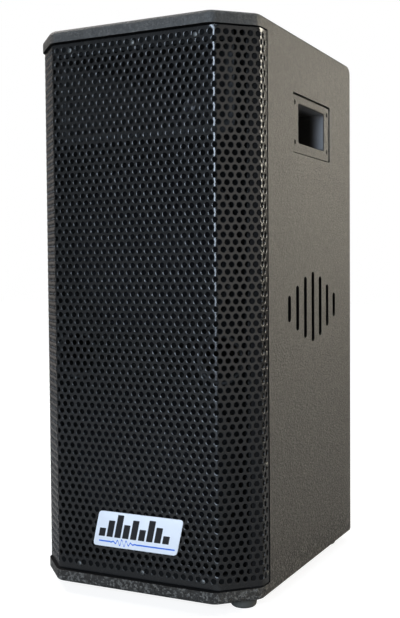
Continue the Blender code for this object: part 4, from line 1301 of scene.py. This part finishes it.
def make_horn():
    """Moulded horn: a flat flange, a rounded mouth and a smooth flare down to the throat."""
    centre = (0.0, HORN_CENTRE)
    face = HORN_LOW.y
    seat = face + 0.005
    throat_end = HORN_HIGH.y
    mouth = (0.268, 0.110)
    throat = 0.0254

    def loop(size, radius, depth):
        return [(x, depth, z) for x, z in rounded_rectangle(centre, size, radius, 8)]

    def station(share, wall):
        grow = 1 - share
        wide = throat + (mouth[0] - throat) * grow ** 1.35 + 2 * wall
        tall = throat + (mouth[1] - throat) * grow ** 1.15 + 2 * wall
        radius = min(0.012 + 0.010 * share + wall, tall / 2 - 0.0001)
        if share > 0.7:
            radius = min(radius + (tall / 2 - radius) * (share - 0.7) / 0.3, tall / 2 - 0.0001)
        return loop((wide, tall), radius, face + 0.003 + (throat_end - face - 0.003) * share)

    flange = (HORN_HIGH.x - HORN_LOW.x, HORN_HIGH.z - HORN_LOW.z)
    loops = [
        loop(flange, 0.010, seat),
        loop(flange, 0.010, face + 0.001),
        loop((flange[0] - 0.002, flange[1] - 0.002), 0.009, face),
        loop((mouth[0] + 0.006, mouth[1] + 0.006), 0.014, face),
        loop((mouth[0] + 0.002, mouth[1] + 0.002), 0.013, face + 0.0008),
    ]
    loops += [station(step / 14, 0.0) for step in range(15)]
    loops += [station(1 - step / 14, 0.0028) for step in range(14)]
    loops.append(loop((mouth[0] + 0.0056, mouth[1] + 0.0056), 0.015, seat))
    horn = loft("flared_horn", loops, PLASTIC, ring=True, sharp=50.0)
    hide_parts("horn_flare")
    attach(horn, CABINET)


def make_port(role):
    """Reflex port with a rounded lip."""
    node = f"port_tube_{role}"
    low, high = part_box(node)
    centre = centre_of(node)
    bore = 0.031
    wall = 0.0025
    flange = (high.x - low.x) / 2
    face = low.y - BAFFLE_FACE
    lip = 0.0035
    profile = [(bore + wall, high.y - BAFFLE_FACE), (bore + wall, -FIT_GAP), (flange, -FIT_GAP),
               (flange, face + 0.0008), (flange - 0.0008, face), (bore + lip, face)]
    for step in range(1, 6):
        angle = math.pi / 2 * step / 5
        profile.append((bore + lip * (1 - math.sin(angle)), face + lip * (1 - math.cos(angle))))
    profile.append((bore, high.y - BAFFLE_FACE))
    port = turned(f"reflex_port_{role}", profile, PLASTIC, (centre.x, BAFFLE_FACE, centre.z), 64)
    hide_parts(node)
    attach(port, CABINET)


# ---- Stage, light and camera
def seen_by_camera(tree):
    """1 for what the camera sees directly, 0 for light that bounces."""
    return tree.nodes.new("ShaderNodeLightPath").outputs["Is Camera Ray"]


def make_stage():
    """Pale sweep of floor: near white in the picture, with a soft shadow under the cabinet from the
    lamps, deepened by a painted shadow where its glow is dimmer near the cabinet.
    """
    pale = Finish("studio_floor", roughness=0.85, specular=0.1)
    pale.colour(pale.mix(pale.noise(3.0), (0.26, 0.26, 0.26), (0.30, 0.30, 0.30)))
    reach = pale.add("ShaderNodeVectorMath", operation="LENGTH")
    pale.link(pale.place, reach.inputs[0])
    away = pale.math("MULTIPLY", reach.outputs["Value"], 0.25)
    # Painted shadow: the floor's glow is 0.86 within about 0.4 m of the cabinet and rises to full
    # by about 2.4 m.
    glow_with_painted_shadow_pool = pale.ramp(away, [(0.10, 0.86), (0.60, 1.0)])
    pale.link(pale.math("MULTIPLY", glow_with_painted_shadow_pool, seen_by_camera(pale.tree)),
              pale.shader.inputs["Emission Strength"])
    pale.shader.inputs["Emission Color"].default_value = (1.0, 1.0, 1.0, 1.0)
    edge = 12.0
    corners = [(-edge, -edge, 0), (edge, -edge, 0), (edge, edge, 0), (-edge, edge, 0)]
    mesh_object("studio_floor", corners, [(0, 1, 2, 3)], pale.material)


def make_area_light(name, place, target, size, power, colour, spread):
    """Rectangular soft light aimed at a point; spread is its beam in degrees."""
    data = bpy.data.lights.new(name, "AREA")
    data.shape = "RECTANGLE"
    data.size, data.size_y = size
    data.energy = power
    data.color = colour
    data.spread = math.radians(spread)
    lamp = link(bpy.data.objects.new(name, data))
    lamp.location = place
    lamp.visible_camera = False
    lamp.rotation_euler = (Vector(target) - Vector(place)).to_track_quat("-Z", "Y").to_euler()


def make_lights():
    """Warm light from the right and behind, a cool window in front, soft panels, a dim room."""
    world = bpy.data.worlds.new("studio")
    world.use_nodes = True
    tree = world.node_tree
    background = tree.nodes["Background"]
    background.inputs["Color"].default_value = (1.0, 1.0, 1.0, 1.0)
    background.inputs["Strength"].default_value = 1.0
    room = tree.nodes.new("ShaderNodeBackground")
    room.inputs["Color"].default_value = (0.92, 0.95, 1.0, 1.0)
    room.inputs["Strength"].default_value = 0.045
    choose = tree.nodes.new("ShaderNodeMixShader")
    tree.links.new(seen_by_camera(tree), choose.inputs[0])
    tree.links.new(room.outputs[0], choose.inputs[1])
    tree.links.new(background.outputs[0], choose.inputs[2])
    tree.links.new(choose.outputs[0], tree.nodes["World Output"].inputs["Surface"])
    bpy.context.scene.world = world
    for name, place, target, size, power, colour, spread in SOFT_LIGHTS:
        make_area_light(name, place, target, size, power, colour, spread)


SOFT_LIGHTS = (
    ("side_softbox", (2.38, 2.02, 1.30), (0.18, 0.10, 0.55), (1.8, 1.4), 9.8,
     (1.0, 0.93, 0.79), 44.0),
    ("front_window", (0.34, -4.3, 1.35), (0.1, -0.2, 0.5), (1.25, 2.1), 200.0,
     (0.70, 0.83, 1.0), 180.0),
    ("right_panel", (2.9, -1.35, 0.75), (0.15, -0.2, 0.45), (1.5, 1.7), 8.5,
     (1.0, 0.93, 0.84), 180.0),
    ("rear_left_panel", (-2.5, 1.75, 0.7), (-0.16, -0.2, 0.45), (1.6, 1.8), 2.4,
     (1.0, 0.91, 0.84), 180.0),
    ("left_softbox", (-2.45, 0.15, 2.9), (-0.18, 0.0, 0.45), (1.4, 1.4), 75.0,
     (1.0, 0.95, 0.90), 180.0),
    ("top_softbox", (0.0, 0.4, 3.1), (0.0, 0.0, 0.8), (1.4, 1.4), 30.0,
     (0.92, 0.96, 1.0), 180.0),
)


def make_camera():
    """Camera a little above the case's middle, turned 26.5 degrees to its right front corner."""
    yaw = 0.46246
    pitch = -0.03888
    roll = -0.00793
    along, across = math.cos(yaw), math.sin(yaw)
    flat = math.cos(pitch)
    forward = Vector((-across * flat, along * flat, math.sin(pitch)))
    level = Vector((along, across, 0.0))
    upright = level.cross(forward)
    right = level * math.cos(roll) + upright * math.sin(roll)
    up = upright * math.cos(roll) - level * math.sin(roll)
    data = bpy.data.cameras.new("camera")
    data.lens = 56.314
    data.sensor_width = 36.0
    camera = link(bpy.data.objects.new("camera", data))
    turn = Matrix((right, up, -forward)).transposed().to_4x4()
    place = (0.71503, FRONT - 1.20642, BASE + 0.46990)
    camera.matrix_world = Matrix.Translation(place) @ turn
    bpy.context.scene.camera = camera


CARRIED = {
    "grille_batten_top": BAFFLE, "grille_batten_bottom": BAFFLE, "front_baffle": BAFFLE,
    "cabinet_brace": TIMBER, "connector_plate": PLATE, "badge_plate": WHITE_FILM,
    "crossover_board": BOARD, "crossover_resistor": CERAMIC, "horn_flare": PLASTIC,
    "hf_cover": PLASTIC, "hf_magnet": FERRITE, "hf_diaphragm": TITANIUM, "front_grille": GRILLE,
}
CARRIED_BY_START = {
    "acoustic_lining": FELT, "crossover_coil": WINDING, "crossover_capacitor": CAPACITOR,
    "port_tube": PLASTIC, "lead_": SHEATH, "foot_": RUBBER, "speaker_socket": SOCKET,
    "handle_": HANDLE,
}
CARRIED_BY_ENDING = {
    "magnet": FERRITE, "voice_coil": WINDING, "basket": CAST, "plate": ZINC, "spider": SPIDER,
    "surround": SURROUND, "cone": PULP, "dust_cap": PULP,
}


def dress_carried_nodes():
    """Give every CAD node its finish."""
    for name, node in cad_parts.items():
        finish = CARRIED.get(name)
        for start, choice in CARRIED_BY_START.items():
            if finish is None and name.startswith(start):
                finish = choice
        for ending, choice in CARRIED_BY_ENDING.items():
            if finish is None and name.endswith(ending):
                finish = choice
        for slot in range(len(node.material_slots)):
            node.material_slots[slot].material = finish or PAINT


make_camera()
make_case()
make_grille()
make_screws()
make_handle(-1, "handle_pocket_left")
make_handle(1, "handle_pocket_right")
for corner in FEET:
    make_foot(corner)
make_badge()
make_connector_plate()
for socket_role in SOCKET_PLACES:
    make_socket(socket_role)
for woofer_role in WOOFER_HEIGHTS:
    make_woofer(woofer_role)
make_horn()
for port_role in ("left", "right"):
    make_port(port_role)
dress_carried_nodes()
make_stage()
make_lights()
bpy.context.scene.view_settings.view_transform = "Standard"
